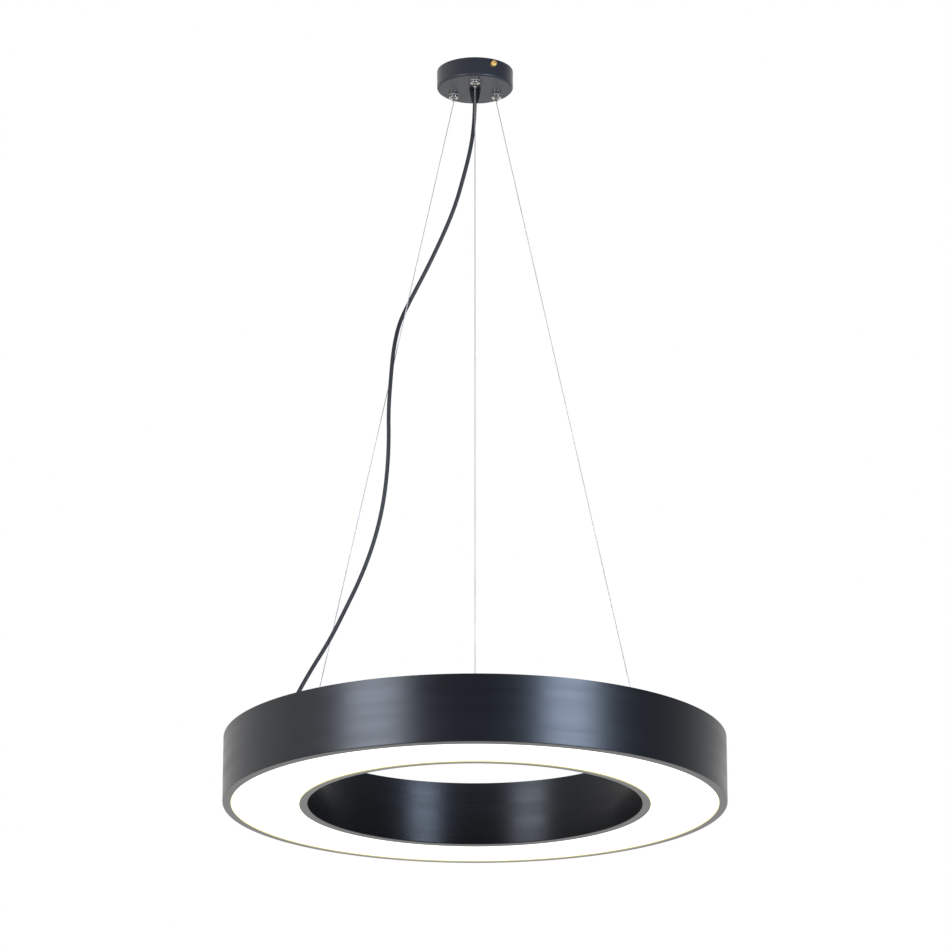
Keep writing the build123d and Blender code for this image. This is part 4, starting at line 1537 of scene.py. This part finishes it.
@dataclass
class Studio:
    """Camera, lamps, floor and white surroundings, in metres and degrees."""

    camera_place: Point = (-2.4982, -4.6984, -2.2595)
    camera_pitch: float = 18.0
    lens: float = 174.3
    sensor: float = 36.0
    far_clip: float = 100.0
    floor_height: float = -7.5
    floor_size: float = 60.0
    floor_squares: int = 4
    floor_colour: Colour = (0.46, 0.46, 0.46)
    floor_whiteness: float = 0.97
    floor_shade: float = 0.05
    floor_shade_near: float = 2.0
    floor_shade_far: float = 9.0
    floor_fade_end: float = 26.0
    softboxes: tuple[Softbox, ...] = (
        Softbox("softbox_left", LAMP_TURN - 41.0, distance=1.30, height=-0.66, width=0.55, tallness=0.48,
                power=12.3, tint=(0.76, 0.84, 1.0)),
        Softbox("softbox_right", LAMP_TURN + 38.5, distance=1.30, height=-0.66, width=0.48, tallness=0.48,
                power=15.3, tint=(0.62, 0.76, 1.0)),
        Softbox("softbox_back", LAMP_TURN + 180.0, distance=2.4, height=0.75, width=0.7, tallness=1.4,
                power=17.0, tint=(0.88, 0.94, 1.0)),
    )
    shaded_side: Point = (0.067, -0.949, 0.31)
    shade_start: float = -0.42
    shade_end: float = 0.75
    shade_level: float = 0.14
    fill_light: float = 0.55

    def build(self) -> None:
        """Set up the whole studio."""
        self._camera()
        self._world()
        self._floor()
        for softbox in self.softboxes:
            softbox.build()
        bpy.context.scene.view_settings.view_transform = "Standard"

    def _camera(self) -> None:
        """Camera at the photograph's viewing angle."""
        data = bpy.data.cameras.new("camera")
        data.lens = self.lens
        data.sensor_width = self.sensor
        data.clip_end = self.far_clip
        camera = bpy.data.objects.new("camera", data)
        camera.location = self.camera_place
        camera.rotation_euler = (math.radians(90 + self.camera_pitch), 0.0, math.radians(LAMP_TURN))
        bpy.context.scene.collection.objects.link(camera)
        bpy.context.scene.camera = camera

    def _white_seen(self, recipe: Recipe, mirrored: Operand) -> Value:
        """White where the camera looks, straight or through something.

        Args:
            recipe: the nodes of the world or the floor.
            mirrored: what a reflection shows.

        Returns:
            The whiteness from 0 to 1.
        """
        paths = recipe.add("ShaderNodeLightPath")
        straight = recipe.value(paths, "Is Camera Ray") + recipe.value(paths, "Is Transmission Ray")
        return recipe.maths("MINIMUM", straight + mirrored * recipe.value(paths, "Is Glossy Ray"), 1.0)

    def _world(self) -> None:
        """White to look at, with plain soft light and a shaded room on the camera's side."""
        world = bpy.data.worlds.new("surroundings")
        world.use_nodes = True
        bpy.context.scene.world = world
        recipe = Recipe(world.node_tree)
        direction = recipe.add("ShaderNodeTexCoord").outputs["Generated"]
        facing = recipe.add("ShaderNodeVectorMath", {"operation": "DOT_PRODUCT"},
                            {"Vector": direction, "Vector_001": self.shaded_side})
        shade = recipe.eased(facing.outputs["Value"], self.shade_start, self.shade_end, 1.0, self.shade_level)
        seen = self._white_seen(recipe, shade)
        paths = recipe.add("ShaderNodeLightPath")
        strength = seen + self.fill_light * recipe.value(paths, "Is Diffuse Ray")
        back = recipe.add("ShaderNodeBackground", {}, {"Color": (1.0, 1.0, 1.0), "Strength": strength})
        recipe.add("ShaderNodeOutputWorld", {}, {"Surface": back.outputs[0]})

    def _floor(self) -> None:
        """Pale floor far below the hanging lamp, in the shade right under it for reflections."""
        form = Form()
        bmesh.ops.create_grid(form.bm, x_segments=self.floor_squares, y_segments=self.floor_squares,
                              size=self.floor_size / 2)
        mesh = form.mesh("floor")
        floor = bpy.data.objects.new("floor", mesh)
        floor.location.z = self.floor_height
        bpy.context.scene.collection.objects.link(floor)
        finish = bpy.data.materials.new("pale_floor")
        finish.use_nodes = True
        recipe = Recipe(finish.node_tree)
        matt = recipe.add("ShaderNodeBsdfDiffuse", {}, {"Color": self.floor_colour})
        white = recipe.add("ShaderNodeEmission", {}, {"Color": (1.0, 1.0, 1.0), "Strength": 1.0})
        length = recipe.add("ShaderNodeVectorMath", {"operation": "LENGTH"}, {"Vector": recipe.place()})
        away = length.outputs["Value"]
        mirrored = recipe.eased(away, self.floor_shade_near, self.floor_shade_far, self.floor_shade, 1.0)
        whiteness = recipe.eased(away, self.floor_shade_far, self.floor_fade_end, self.floor_whiteness, 1.0)
        share = whiteness * self._white_seen(recipe, mirrored)
        mixed = recipe.add("ShaderNodeMixShader", {}, {
            "Fac": share, "Shader": matt.outputs[0], "Shader_001": white.outputs[0]})
        recipe.add("ShaderNodeOutputMaterial", {}, {"Surface": mixed.outputs[0]})
        mesh.materials.append(finish)


def main() -> None:
    """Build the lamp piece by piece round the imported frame."""
    logging.basicConfig(level=logging.INFO, format="%(name)s %(message)s")
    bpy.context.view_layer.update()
    Studio().build()
    cord = PowerCord()
    cord.build()
    for number, angle in enumerate(WIRE_ANGLES, 1):
        SuspensionWire(number, angle).build()
        WireGripper(number, angle).build()
    canopy = Canopy()
    canopy.build()
    under_canopy = Matrix.Translation((0, 0, -canopy.height * MM)) @ Matrix.Rotation(math.pi, 4, "X")
    CordGland("cord_grip", "canopy", under_canopy, canopy.wall).build()
    ring = RingHousing()
    x, y, _ = cord.route.points[-1]
    on_cover = turned_by(LAMP_TURN) @ Matrix.Translation((x, y, ring.cover_top * MM))
    CordGland("ring_gland", "ring", on_cover, ring.cover).build()
    ring.build()
    LightEngine().build()


if __name__ == "__main__":
    main()
